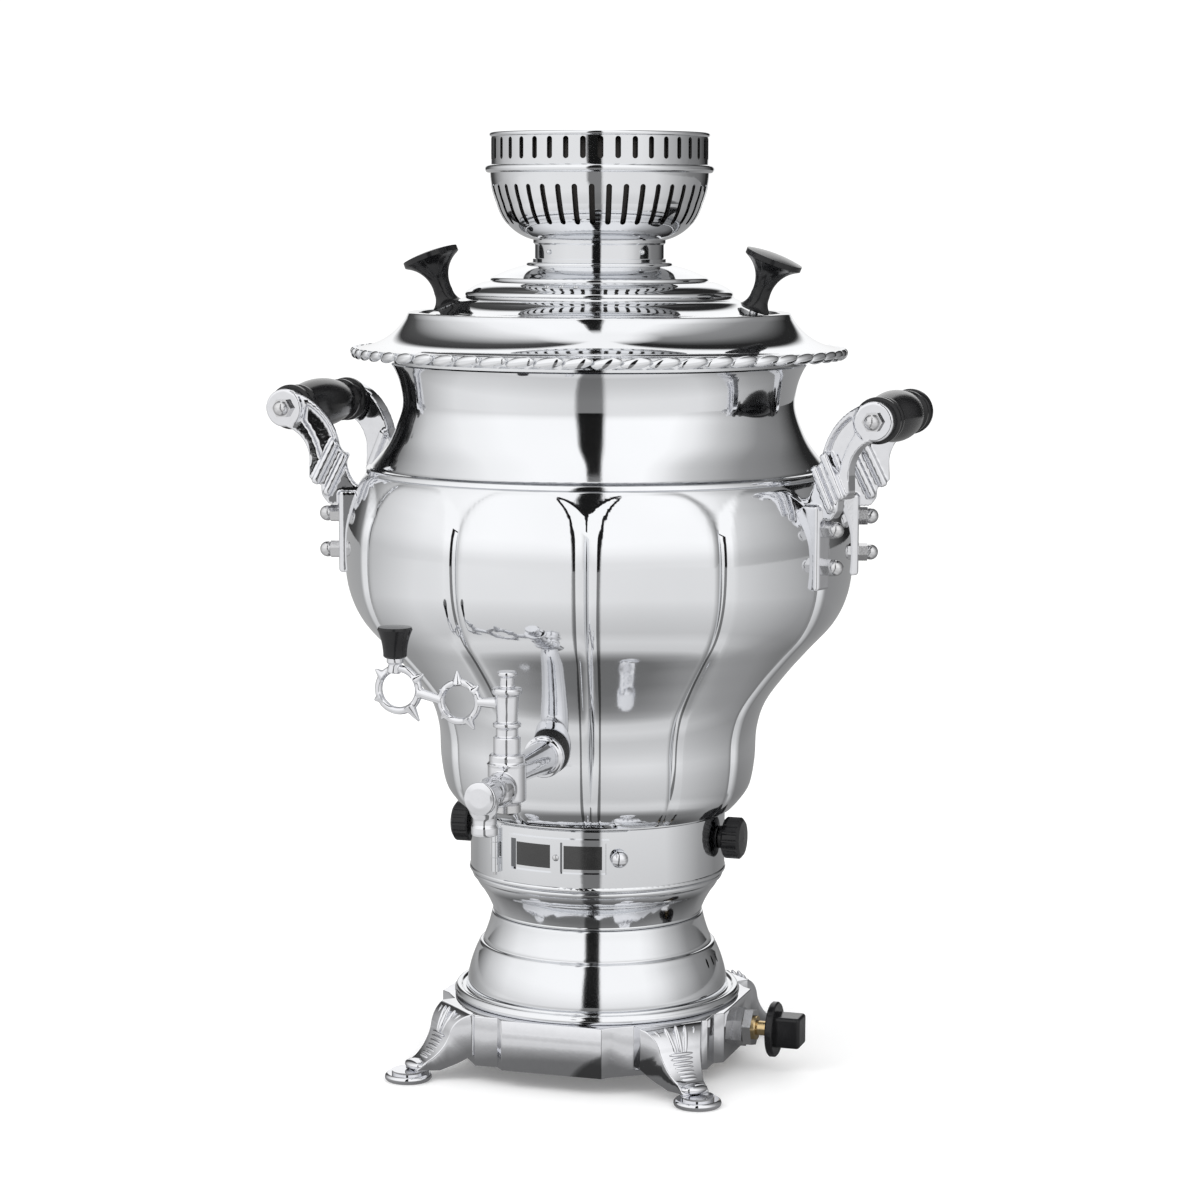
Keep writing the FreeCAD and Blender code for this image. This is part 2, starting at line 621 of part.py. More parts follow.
CREST = ((152.0, 78.0), (157.0, 82.5), (165.0, 87.4), (180.0, 90.0), (198.0, 91.0), (214.0, 96.2),
         (231.0, 108.6), (246.0, 121.8), (260.0, 134.6), (274.0, 141.8), (290.0, 145.0), (312.0, 145.0),
         (328.0, 141.4), (336.0, 138.6), (341.0, 136.4), (LOBE_TOP, 134.2), (SHOULDER_Z, 132.0))


def valley_half(z):
    """Half width of the valley floor: it opens into round arches at the top of the lobes."""
    spring = LOBE_TOP - ARCH_R
    if z <= spring:
        return VALLEY_HALF * (0.45 + 0.55 * max(0.0, (z - BAND_TOP) / (spring - BAND_TOP)))
    rise = min(z - spring, ARCH_R * 0.98)
    return VALLEY_HALF + ARCH_R - math.sqrt(ARCH_R ** 2 - rise ** 2)


def valley_depth(z):
    """Depth of the valley under the lobe's crest, fading out at both ends."""
    if z > LOBE_TOP - 0.5:
        return 0.25 if z < SHOULDER_Z - 0.5 else 0.0
    fade_low = min(1.0, 0.35 + (z - BAND_TOP) / 90.0)
    fade_high = min(1.0, 0.35 + (LOBE_TOP - z) / 12.0)
    return VALLEY_DEPTH * min(fade_low, fade_high)


def lobed_ring(z, crest, shrink):
    """Closed wire of crowned lobes with a narrow valley arc between neighbours."""
    pitch = 360.0 / LOBES
    crest = crest - shrink
    valley = crest - valley_depth(z)
    half = pitch / 2 - math.degrees(valley_half(z) / crest)

    def at(radius, angle):
        turn = math.radians(angle - 90)
        return vec(radius * math.cos(turn), radius * math.sin(turn), z)

    edges = []
    for i in range(LOBES):
        middle = i * pitch
        first = at(valley, middle - half)
        last = at(valley, middle + half)
        edges.append(Part.Arc(first, at(crest, middle), last).toShape())
        edges.append(Part.Arc(last, at(valley, middle + pitch / 2), at(valley, middle + pitch - half)).toShape())
    return Part.Wire(edges)


def lobed_body(shrink, bottom_drop):
    rings = [lobed_ring(z, radius, shrink) for z, radius in CREST]
    if bottom_drop > 0:
        first_z, first_r = CREST[0]
        low = lobed_ring(first_z, first_r, shrink)
        low.translate(vec(0, 0, -bottom_drop))
        rings = [low] + rings
    return Part.makeLoft(rings, True, False)


SHOULDER_R = CREST[-1][1]


def neck_solid(shrink, extra):
    """Waisted neck above the lobes, flaring under the rim collar."""
    top_r = TANK_MOUTH_R + 12.5
    return turned([(0, SHOULDER_Z), (SHOULDER_R - shrink, SHOULDER_Z),
                   ((SHOULDER_R - 10 - shrink, SHOULDER_Z + 10.5), (SHOULDER_R - 17 - shrink, SHOULDER_Z + 24)),
                   ((SHOULDER_R - 20.2 - shrink, SHOULDER_Z + 40), (top_r - 4 - shrink, RIM_FOOT_Z - 6)),
                   (top_r - shrink, RIM_FOOT_Z), (top_r - shrink, RIM_FOOT_Z + extra), (0, RIM_FOOT_Z + extra)])


def tank_solid():
    return lobed_body(0.0, 0.0).fuse(neck_solid(0.0, 0.0))


def tank_shell(solid):
    inside = lobed_body(TANK_WALL, 3.0).fuse(neck_solid(TANK_WALL, 2.0))
    shell = solid.cut(inside)
    tap_hole = rod(SHANK_THREAD_R + RUNNING, vec(0, -60, TAP_Z), vec(0, -110, TAP_Z))
    shell = shell.cut(tap_hole)
    for side in (-1, 1):
        for end in (-1, 1):
            for height in STUD_HEIGHTS:
                shell = shell.cut(stud_rod(side, end, height, 120, 160, STUD_R + RUNNING))
    return shell


def tank_bottom():
    """Dished floor of the tank with two tabs that the thumb screws hold."""
    outer = TANK_BOTTOM_R - valley_depth(BAND_TOP) - TANK_WALL - SEAT
    floor = turned([(BELL_R + RUNNING, BAND_TOP), (outer, BAND_TOP), (outer, BAND_TOP + 6),
                    (outer - SHEET, BAND_TOP + 6), (outer - SHEET, BAND_TOP + SHEET),
                    (BELL_R + RUNNING, BAND_TOP + SHEET)])
    tab_outer = BAND_R - SHEET - SEAT
    tabs = []
    for side in (-1, 1):
        tab = sector(tab_outer - SHEET, tab_outer, THUMB_Z - 9, BAND_TOP + SHEET, side * 90 - 9, side * 90 + 9)
        hole = rod(THUMB_SHANK_R + RUNNING, vec(side * 60, 0, THUMB_Z), vec(side * 80, 0, THUMB_Z))
        tabs.append(tab.cut(hole))
    return floor.fuse(tabs).removeSplitter()


def flue_tube():
    """Straight flue with a flared bell over the burner."""
    bell_top = BAND_TOP + 62
    inner = FLUE_R - FLUE_WALL
    return turned([(BELL_R - FLUE_WALL, BAND_TOP), (BELL_R, BAND_TOP),
                   ((FLUE_R + 6, bell_top - 26), (FLUE_R, bell_top)), (FLUE_R, FLUE_TOP), (inner, FLUE_TOP),
                   (inner, bell_top), ((inner + 6, bell_top - 26), (BELL_R - FLUE_WALL, BAND_TOP))])


# Rim collar and lid

def rim_collar():
    edge_r = RIM_R - ROPE_R
    foot_r = TANK_MOUTH_R + 12.5
    bore = RIM_BORE_R
    wall = RIM_WALL
    skirt = turned([(bore, RIM_TOP), (RIM_RING_R, RIM_TOP),
                    ((RIM_RING_R + 8.3, RIM_TOP - 10.5), (edge_r - 1, RIM_EDGE_Z + 2.2)),
                    (edge_r - 1, RIM_EDGE_Z + 2.2 - wall),
                    ((RIM_RING_R + 7.0, RIM_TOP - 11.6), (RIM_RING_R - 1.2, RIM_TOP - wall - 0.6)),
                    (bore + wall, RIM_TOP - wall), (bore + wall, RIM_FOOT_Z + wall),
                    (foot_r, RIM_FOOT_Z + wall), (foot_r, RIM_FOOT_Z), (bore, RIM_FOOT_Z)])
    rope = Part.makeTorus(edge_r, ROPE_R, vec(0, 0, RIM_EDGE_Z))
    ledge = turned([(LEDGE_R, LID_SEAT - wall), (bore + 0.5, LID_SEAT - wall), (bore + 0.5, LID_SEAT),
                    (LEDGE_R, LID_SEAT)])
    return skirt.fuse([rope, ledge]).removeSplitter()


def lid():
    """Low dome in three steps with a bore that clears the flue."""
    wall = LID_WALL
    bore = FLUE_R + 1.0
    top = [(bore, LID_CROWN_Z), (41.0, LID_CROWN_Z), ((52.0, LID_CROWN_Z - 3.6), (62.5, LID_CROWN_Z - 9.0)),
           (63.5, LID_CROWN_Z - 11.0), ((70.5, LID_CROWN_Z - 13.2), (76.5, LID_CROWN_Z - 17.0)),
           (77.5, LID_CROWN_Z - 20.0), ((86.0, LID_CROWN_Z - 25.4), (96.0, LID_CROWN_Z - 28.6)),
           (LID_R, LID_SEAT + wall)]
    under = [(LID_R, LID_SEAT), (LID_R - 5, LID_SEAT),
             ((85.6, LID_CROWN_Z - 25.4 - wall), (76.7, LID_CROWN_Z - 20.4 - wall)),
             (75.7, LID_CROWN_Z - 17.2 - wall), ((70.0, LID_CROWN_Z - 13.2 - wall), (62.7, LID_CROWN_Z - 11.2 - wall)),
             (61.7, LID_CROWN_Z - 9.2 - wall), ((51.6, LID_CROWN_Z - 3.7 - wall), (41.0, LID_CROWN_Z - wall)),
             (bore, LID_CROWN_Z - wall)]
    dome = turned(top + under)
    for offset in (-8.5, 0.0, 8.5):
        dome = dome.cut(Part.makeCylinder(STEAM_HOLE_R, 20, vec(offset, -70, LID_CROWN_Z - 24)))
    for side in (-1, 1):
        base, axis = lid_knob_place(side)
        dome = dome.cut(rod(STUD_R + RUNNING, base - axis * 12, base + axis * 8))
    return dome


def lid_knob_place(side):
    lean = math.radians(LID_KNOB_LEAN)
    axis = vec(side * math.sin(lean), 0, math.cos(lean))
    base = vec(side * LID_KNOB_X, 0, LID_CROWN_Z - 27.1)
    return base, axis


def lid_knob(side):
    """Flared trumpet knob with a disc top and a spread foot, bored for its screw."""
    length = LID_KNOB_LENGTH
    neck = LID_KNOB_NECK_R
    top = LID_KNOB_R
    knob = turned([(0, 0.7), (neck + 2.4, 0.7), (neck + 3.4, 2.0), ((neck + 1.0, 5), (neck, 10)),
                   ((neck + 2.2, length * 0.64), (top - 1.2, length - 5)), (top, length - 4.2), (top, length - 1.2),
                   dome(top, length - 1.2, 1.8)])
    knob = knob.cut(Part.makeCylinder(STUD_R, 16, vec(0, 0, -1)))
    base, axis = lid_knob_place(side)
    return placed(knob, base, axis)


def lid_knob_screws():
    """Two pan-head screws from under the lid into the knobs."""
    screws = []
    for side in (-1, 1):
        base, axis = lid_knob_place(side)
        below = LID_WALL + 3.6
        screw = turned([(0, -below - 2), (STUD_R * 1.8, -below - 2), (STUD_R * 1.8, -below),
                        (STUD_R, -below), (STUD_R, 12), (0, 12)])
        screws.append(placed(screw, base, axis))
    return group(screws)


# Crown

def crown():
    """Teapot stand: collar with four pips, slotted bowl, bead and slotted ring, open right through."""
    wall = CROWN_WALL
    ring = CROWN_RING_R
    foot = LID_CROWN_Z
    bead_z = CROWN_BEAD_Z
    collar_in = COLLAR_R - wall
    bowl = turned([(collar_in, foot), (COLLAR_R + 1.2, foot), (COLLAR_R + 1.2, foot + 1.8), (COLLAR_R, foot + 2.2),
                   (COLLAR_R, foot + 10), (COLLAR_R + 1.0, foot + 11), (COLLAR_R + 1.0, foot + 12.6),
                   ((52.5, 487.6), (59.0, 499.6)), ((61.8, 508.5), (ring + 0.6, bead_z - 2)),
                   ((CROWN_BEAD_R, bead_z), (ring, bead_z + 2.4)), (ring, CROWN_TOP - 2.6),
                   ((ring + 1.0, CROWN_TOP - 1.0), (ring - wall / 2, CROWN_TOP)),
                   ((ring - wall - 1.0, CROWN_TOP - 1.0), (ring - wall, CROWN_TOP - 2.6)),
                   (ring - wall, bead_z - 2), ((61.8 - wall, 508.5), (59.0 - wall, 499.8)),
                   ((52.5 - wall, 488.8), (collar_in, foot + 13.4))])
    pips = [Part.makeSphere(PIP_R, front_point(COLLAR_R + 0.2, PIP_ANGLE + 90 * i, foot + 6)) for i in range(4)]
    upper = slot_cutter(SLOT_W, UPPER_SLOT[0], UPPER_SLOT[1], ring - 6, ring + 6)
    lower = slot_cutter(SLOT_W, LOWER_SLOT[0], LOWER_SLOT[1], COLLAR_R + 8, ring + 6)
    pitch = 360.0 / SLOTS
    cutters = [spun(upper, pitch * i) for i in range(SLOTS)]
    cutters += [spun(lower, pitch * (i + 0.5)) for i in range(SLOTS)]
    return bowl.fuse(pips).cut(cutters)


# Tap

def tap_body():
    """Barrel with a level shank to the tank and a spout that drops at its end."""
    barrel = turned([(0, 181), (TAP_BARREL_R - 1, 181), (TAP_BARREL_R, 182), (TAP_BARREL_R, 201),
                     (TAP_BARREL_R + 0.6, 201.6), (TAP_BARREL_R - 0.7, 202.6), (TAP_BARREL_R - 0.7, 206),
                     (9.0, 207), (0, 207)])
    barrel.translate(vec(0, TAP_Y, 0))
    flange_y = -(GASKET_SEAT + 3.0)
    run = flange_y - TAP_Y
    shank = turned([(0, -run), (7.0, -run), ((7.6, -run * 0.5), (9.4, -4.5)), (GASKET_R, -3.6),
                    (GASKET_R, 0), (0, 0)])
    shank = placed(shank, vec(0, flange_y, TAP_Z), vec(0, 1, 0))
    tail = rod(SHANK_THREAD_R, vec(0, flange_y - 2, TAP_Z), vec(0, -(GASKET_SEAT - 18.0), TAP_Z))
    spout_y = TAP_Y - SPOUT_REACH
    spout_z = TAP_Z - 5.0
    arm = turned([(0, 0), (7.4, 0), ((6.4, SPOUT_REACH * 0.45), (SPOUT_R + 0.6, SPOUT_REACH - 3)),
                  (SPOUT_R + 0.6, SPOUT_REACH + 5.5), (SPOUT_R + 1.6, SPOUT_REACH + 6.2),
                  (SPOUT_R + 1.6, SPOUT_REACH + 8.2), (SPOUT_R - 2, SPOUT_REACH + 9.0), (0, SPOUT_REACH + 9.0)])
    arm = placed(arm, vec(0, TAP_Y, spout_z), vec(0, -1, 0))
    nozzle = turned([(0, SPOUT_END_Z), (SPOUT_R - 0.8, SPOUT_END_Z), (SPOUT_R, SPOUT_END_Z + 0.8),
                     (SPOUT_R, SPOUT_END_Z + 5), (SPOUT_R - 0.8, SPOUT_END_Z + 6), (SPOUT_R - 0.8, spout_z), (0, spout_z)])
    nozzle.translate(vec(0, spout_y, 0))
    body = barrel.fuse([shank, tail, arm, nozzle])
    body = body.cut(Part.makeCylinder(TAP_PLUG_R + RUNNING, 40, vec(0, TAP_Y, 175)))
    body = body.cut(rod(SPOUT_BORE_R - 0.6, vec(0, -60, TAP_Z), vec(0, TAP_Y, TAP_Z)))
    body = body.cut(rod(SPOUT_BORE_R - 0.6, vec(0, TAP_Y, spout_z), vec(0, spout_y, spout_z)))
    body = body.cut(Part.makeCylinder(SPOUT_BORE_R, spout_z - SPOUT_END_Z + 1, vec(0, spout_y, SPOUT_END_Z - 1)))
    return body


def tap_gasket(solid):
    """Rubber washer squeezed between the tap's flange and the curved tank."""
    washer = rod(GASKET_R - 0.4, vec(0, -(GASKET_SEAT + 3.0), TAP_Z), vec(0, -86, TAP_Z))
    washer = washer.cut(rod(SHANK_THREAD_R, vec(0, -(GASKET_SEAT + 4.0), TAP_Z), vec(0, -80, TAP_Z)))
    cutter = solid.copy()
    cutter.translate(vec(0, -0.1, 0))
    return max(washer.cut(cutter).Solids, key=lambda s: s.Volume)


def tap_back_nut():
    nut = hexagon(18.0, 5.0, SHANK_THREAD_R)
    return placed(nut, vec(0, -(GASKET_SEAT - 17.0), TAP_Z), vec(0, -1, 0))


def ring_plate(x, z, radius, hole):
    plate = rod(radius, vec(x, TAP_Y - KEY_THICK / 2, z), vec(x, TAP_Y + KEY_THICK / 2, z))
    bore = rod(hole, vec(x, TAP_Y - KEY_THICK, z), vec(x, TAP_Y + KEY_THICK, z))
    return plate, bore


def tap_key():
    """Plug and column in one, with a cast lever of two rings that ends in an upturned horn."""
    column = turned([(0, 174), (3.5, 174), (3.5, 181), (TAP_PLUG_R, 181), (TAP_PLUG_R, 207.2), (7.4, 207.2),
                     (7.4, 216), (6.0, 216.4), (6.0, 221), (7.6, 221.6), (7.6, 223.6), (5.7, 224.4),
                     (6.4, 238.6), (7.9, 239.4), ((8.3, 241), (7.9, 242.6)), (4.2, 243.4), (3.9, 248.6),
                     (5.4, 249.2), (5.4, 251), (4.6, 251.6), (0, 251.6)])
    port_z = TAP_Z - 2.5
    column = column.cut(rod(SPOUT_BORE_R - 0.6, vec(-TAP_PLUG_R - 1, 0, port_z), vec(TAP_PLUG_R + 1, 0, port_z)))
    column.translate(vec(0, TAP_Y, 0))
    big, big_hole = ring_plate(KEY_RING_X, KEY_Z, KEY_RING_R, KEY_RING_HOLE)
    small, small_hole = ring_plate(KEY_LOOP_X, KEY_Z + 2, 9.5, 5.2)
    cusps = []
    for angle in (45, 135, 225, 315):
        turn = math.radians(angle)
        out = vec(math.cos(turn), 0, math.sin(turn))
        start = vec(KEY_RING_X, TAP_Y, KEY_Z) + out * (KEY_RING_R - 3)
        cusps.append(Part.makeCone(4.2, 0.8, 7.0, start, out))
    neck_one = rod(3.6, vec(-4, TAP_Y, KEY_Z), vec(KEY_RING_X + KEY_RING_R - 1, TAP_Y, KEY_Z))
    neck_two = rod(3.0, vec(KEY_RING_X - KEY_RING_R + 1, TAP_Y, KEY_Z), vec(KEY_LOOP_X + 8, TAP_Y, KEY_Z + 1))
    horn_foot = vec(KEY_LOOP_X - 7.5, TAP_Y, KEY_Z + 6)
    horn_top = vec(TAP_KNOB_X, TAP_Y, TAP_KNOB_Z)
    horn = Part.makeCone(3.6, 3.2, (horn_top - horn_foot).Length - 2.0, horn_foot, horn_top - horn_foot)
    ferrule = Part.makeCylinder(4.6, 3.0, horn_top - vec(0, 0, 3.0))
    lever = big.fuse(cusps + [small, neck_one, neck_two, horn, ferrule])
    lever = lever.cut(big_hole).cut(small_hole)
    tang = Part.makeCylinder(2.2, 8.0, horn_top)
    return column.fuse([lever, tang])


def tap_knob():
    knob = turned([(2.2, 0), (5.6, 0), (6.4, 0.8), ((7.2, 8), (9.6, 15.2)), (9.0, 16.6), (0, 17), (0, 8), (2.2, 8)])
    knob.translate(vec(TAP_KNOB_X, TAP_Y, TAP_KNOB_Z))
    return knob


def tap_bottom_nut():
    nut = turned([(3.5, 174.4), (6.4, 174.4), (7.6, 175.6), (7.6, 179.4), (6.8, 180.9), (3.5, 180.9)])
    nut.translate(vec(0, TAP_Y, 0))
    return nut


# Side handles

def stud_rod(side, end, height, start, finish, radius):
    """Cylinder along the stud line of one bracket, square to the tank."""
    turn = math.radians(STUD_ANGLE)
    out = vec(side * math.cos(turn), end * math.sin(turn), 0)
    return rod(radius, out * start + vec(0, 0, height), out * finish + vec(0, 0, height))


def bracket_blank():
    """Cast arm of the +X, +Y bracket before it is cut to the tank."""
    x0 = HANDLE_X
    z0 = HANDLE_Z
    arm = outline([(x0 + 5, z0 - 9.5), ((x0 - 9, z0 - 17), (x0 - 13.5, z0 - 30)), (x0 - 13, z0 - 40),
                   (x0 - 20, z0 - 44), (x0 - 20.5, z0 - 50), ((x0 - 30, z0 - 60), (x0 - 52, z0 - 66)),
                   (x0 - 52, z0 - 44), (x0 - 40, z0 - 44), ((x0 - 36, z0 - 37), (x0 - 35, z0 - 29)),
                   (x0 - 31, z0 - 22), ((x0 - 24, z0 - 5), (x0 - 6, z0 + 9))])
    half = BRACKET_T / 2
    plate = Part.Face(arm).extrude(vec(0, BRACKET_T, 0))
    plate.translate(vec(0, BRACKET_Y - half, 0))
    window = outline([(x0 - 10, z0 - 7), ((x0 - 15.5, z0 - 16), (x0 - 20, z0 - 31)), (x0 - 26, z0 - 27),
                      (x0 - 28.6, z0 - 22), ((x0 - 22.4, z0 - 7), (x0 - 12, z0 + 2.5))])
    pocket = Part.Face(window).extrude(vec(0, BRACKET_T, 0))
    pocket.translate(vec(0, BRACKET_Y, 0))
    plate = plate.cut(pocket)
    depth = BRACKET_T + 2 * RIDGE_PROUD
    for dx, dz, width, length in ((-16.5, -43.5, 5.0, 28.0), (-23.0, -50.0, 4.5, 27.0)):
        ridge = Part.makeBox(width, depth, length, vec(-width / 2, -depth / 2, 0))
        ridge = ridge.makeFillet(1.6, ridge.Edges)
        ridge.rotate(ORIGIN, vec(0, 1, 0), -RIDGE_LEAN)
        ridge.translate(vec(x0 + dx, BRACKET_Y, z0 + dz))
        plate = plate.fuse(ridge)
    plate.translate(vec(0, ARM_SHIFT, 0))
    plate.rotate(vec(x0, BRACKET_Y, 0), UP, ARM_TURN)
    grip_room = rod(GRIP_R + SEAT, vec(x0, 0, z0), vec(x0, BRACKET_Y - half - EYE_PROUD, z0))
    eye = rod(EYE_R, vec(x0, BRACKET_Y - half - EYE_PROUD, z0), vec(x0, NUT_FACE, z0))
    foot_low = STUD_HEIGHTS[0] - 13
    foot_high = STUD_HEIGHTS[1] + 13
    foot = Part.makeBox(FOOT_FACE - 124, FOOT_WIDTH, foot_high - foot_low, vec(124, -FOOT_WIDTH / 2, foot_low))
    foot = foot.makeFillet(2.0, [e for e in foot.Edges if e.BoundBox.XMin > FOOT_FACE - 1])
    foot.rotate(ORIGIN, UP, STUD_ANGLE)
    nut_room = rod(EYE_R, vec(x0, NUT_FACE, z0), vec(x0, NUT_FACE + 20, z0))
    return plate.cut([grip_room, nut_room]).fuse([eye, foot])


def bracket(side, end, solid):
    blank = bracket_blank()
    if side < 0:
        blank = mirrored_x(blank)
    if end < 0:
        blank = mirrored_y(blank)
    cutter = solid.copy()
    cutter.translate(vec(side * 0.12, end * 0.05, 0))
    blank = blank.cut(cutter)
    hole = rod(ROD_R + RUNNING, vec(side * HANDLE_X, end * 20, HANDLE_Z), vec(side * HANDLE_X, end * 80, HANDLE_Z))
    blank = blank.cut(hole)
    for height in STUD_HEIGHTS:
        blank = blank.cut(stud_rod(side, end, height, 120, 175, STUD_R + RUNNING))
        blank = blank.cut(stud_rod(side, end, height, FOOT_FACE, 175, STUD_NUT_AF * 0.75))
    return max(blank.Solids, key=lambda s: s.Volume)


def handle_grip(side):
    """Turned grip between two brackets: end rings, coves and a bulged middle."""
    end = BRACKET_Y - BRACKET_T / 2 - EYE_PROUD - RUNNING
    r = GRIP_R
    points = [(ROD_R + RUNNING, -end), (r - 3, -end), (r - 1.5, 1.5 - end), (r - 1.5, 4 - end),
              ((r - 5, 7 - end), (r - 3, 11 - end)), (r - 2, 12 - end), (r - 2, 14 - end), (r - 4, 15 - end),
              ((r, 0), (r - 4, end - 15)), (r - 2, end - 14), (r - 2, end - 12), (r - 3, end - 11),
              ((r - 5, end - 7), (r - 1.5, end - 4)), (r - 1.5, end - 1.5), (r - 3, end), (ROD_R + RUNNING, end)]
    return placed(turned(points), vec(side * HANDLE_X, 0, HANDLE_Z), vec(0, 1, 0))


def handle_rods():
    return group([rod(ROD_R, vec(s * HANDLE_X, -NUT_FACE - 4, HANDLE_Z), vec(s * HANDLE_X, NUT_FACE + 4, HANDLE_Z))
                  for s in (-1, 1)])


def handle_nuts():
    nuts = []
    for side in (-1, 1):
        for end in (-1, 1):
            nut = dome_nut(DOME_AF, 8.0, ROD_R, 4.0)
            nuts.append(placed(nut, vec(side * HANDLE_X, end * NUT_FACE, HANDLE_Z), vec(0, end, 0)))
    return group(nuts)


def bracket_fasteners():
    """Studs, outer dome nuts and inner nuts of the four brackets."""
    studs = []
    domes = []
    inner = []
    turn = math.radians(STUD_ANGLE)
    for side in (-1, 1):
        for end in (-1, 1):
            out = vec(side * math.cos(turn), end * math.sin(turn), 0)
            for height, seat in zip(STUD_HEIGHTS, INNER_SEATS):
                lift = vec(0, 0, height)
                studs.append(stud_rod(side, end, height, seat - 4.5, FOOT_FACE + 5, STUD_R))
                domes.append(placed(dome_nut(STUD_NUT_AF, 11.5, STUD_R, 5.0), out * FOOT_FACE + lift, out))
                nut = hexagon(STUD_NUT_AF - 1, 4.0, STUD_R)
                inner.append(placed(nut, out * seat + lift, out * -1))
    return group(studs), group(domes), group(inner)


# Thumb screws

def side_knob(side):
    """Knurled thumb screw through the firebox band into its tab nut."""
    face = BAND_R + SEAT
    knob = turned([(0, 0), (THUMB_R * 0.55, 0), (THUMB_R * 0.55, 2.5), (THUMB_R - 1, 3), (THUMB_R, 4),
                   (THUMB_R, THUMB_T + 1), (THUMB_R - 2, THUMB_T + 2.6), (0, THUMB_T + 3)])
    grooves = 16
    for i in range(grooves):
        angle = math.radians(360 / grooves * i)
        spot = vec((THUMB_R + 0.7) * math.cos(angle), (THUMB_R + 0.7) * math.sin(angle), 3)
        knob = knob.cut(Part.makeCylinder(1.3, THUMB_T + 2, spot))
    shank = Part.makeCylinder(THUMB_SHANK_R, 9.0, vec(0, 0, -9.0))
    return placed(knob.fuse(shank), vec(side * face, 0, THUMB_Z), vec(side, 0, 0))


def side_knob_nuts():
    nuts = []
    tab_inner = BAND_R - 2 * SHEET - SEAT
    for side in (-1, 1):
        nut = hexagon(10.0, 4.0, THUMB_SHANK_R + RUNNING)
        nuts.append(placed(nut, vec(side * (tab_inner - SEAT), 0, THUMB_Z), vec(-side, 0, 0)))
    return group(nuts)


def main():
    solid = tank_solid()
    save("base_casting", base_casting())
    pads = [placed(foot_pad(), spot) for spot in
            [FreeCAD.Rotation(UP, 45 + 90 * i).multVec(vec(FOOT_REACH, 0, 0)) for i in range(4)]]
    save("foot_pads", group(pads))
    save("pedestal_drum", pedestal_drum())
    save("pedestal_neck", pedestal_neck())
    save("firebox_band", firebox_band())
    save("firebox_door", firebox_door())
    save("door_windows", door_windows())
    save("door_knob", door_knob())
    save("door_screw", door_screw())
    save("door_hinge_pin", door_hinge_pin())
    save("burner_head", burner_head())
    save("burner_tube", burner_tube())
    save("gas_valve_body", gas_valve_body())
    save("gas_valve_nuts", gas_valve_nuts())
    save("gas_valve_stem", gas_valve_stem())
    save("gas_valve_knob", gas_valve_knob())
    save("gas_inlet_barb", gas_inlet_barb())
    save("gas_inlet_nut", gas_inlet_nut())
    save("gas_feed_tube", gas_feed_tube())
    save("tank_shell", tank_shell(solid))
    save("tank_bottom", tank_bottom())
    save("flue_tube", flue_tube())
    save("rim_collar", rim_collar())
    save("lid", lid())
    save("lid_knob_left", lid_knob(-1))
    save("lid_knob_right", lid_knob(1))
    save("lid_knob_screws", lid_knob_screws())
    save("crown", crown())
    save("tap_body", tap_body())
    save("tap_gasket", tap_gasket(solid))
    save("tap_back_nut", tap_back_nut())
    save("tap_key", tap_key())
    save("tap_knob", tap_knob())
    save("tap_bottom_nut", tap_bottom_nut())
    for side, side_name in ((-1, "left"), (1, "right")):
        for end, end_name in ((-1, "front"), (1, "rear")):
            save("handle_bracket_" + side_name + "_" + end_name, bracket(side, end, solid))
        save("handle_grip_" + side_name, handle_grip(side))
        save("side_knob_" + side_name, side_knob(side))
    save("handle_rods", handle_rods())
    save("handle_nuts", handle_nuts())
    studs, domes, inner = bracket_fasteners()
    save("bracket_studs", studs)
    save("bracket_nuts", domes)
    save("bracket_inner_nuts", inner)
    save("side_knob_nuts", side_knob_nuts())


main()
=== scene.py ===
import json
import math

import bpy
from mathutils import Euler, Matrix, Vector


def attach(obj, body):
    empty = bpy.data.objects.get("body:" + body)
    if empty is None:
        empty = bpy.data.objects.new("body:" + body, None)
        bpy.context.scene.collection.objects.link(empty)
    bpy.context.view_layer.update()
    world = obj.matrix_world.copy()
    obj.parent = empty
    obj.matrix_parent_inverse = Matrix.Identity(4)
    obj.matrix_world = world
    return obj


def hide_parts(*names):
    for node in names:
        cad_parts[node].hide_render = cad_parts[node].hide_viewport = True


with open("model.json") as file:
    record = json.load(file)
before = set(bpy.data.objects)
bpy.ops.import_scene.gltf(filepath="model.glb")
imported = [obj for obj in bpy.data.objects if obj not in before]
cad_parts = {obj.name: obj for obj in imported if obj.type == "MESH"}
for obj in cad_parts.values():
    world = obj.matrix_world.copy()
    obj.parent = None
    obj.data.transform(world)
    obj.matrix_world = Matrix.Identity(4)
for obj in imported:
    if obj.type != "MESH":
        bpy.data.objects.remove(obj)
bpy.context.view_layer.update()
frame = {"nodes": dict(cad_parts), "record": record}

MM = 0.001

# Heights and radii shared with the construction, in millimetres
BASE_TOP = 39.0
DRUM_TOP = 88.0
NECK_TOP = 113.0
VENT_Z = 63.2
VENT_ANGLES = (80.0, 86.0, 92.0)
BAND_TOP = 152.0
SHOULDER_Z = 348.0
RIM_FOOT_Z = 409.0
RIM_TOP = 438.0
RIM_EDGE_Z = 415.0
RIM_R = 142.8
RIM_BORE_R = 104.0
LID_SEAT = RIM_TOP - 5.0
LID_CROWN_Z = 466.5
CROWN_TOP = 540.0
CROWN_RING_R = 62.3
CROWN_BEAD_Z = 519.0
COLLAR_R = 37.2
FLUE_R = 34.0

FOOT_REACH = 122.0
TAP_Y = -161.0
TAP_Z = 195.0
KEY_Z = 234.0
RING_ONE = (-27.0, 233.6)
RING_TWO = (-62.0, 238.6)
KNOB_X = -64.0
KNOB_Z = 256.0

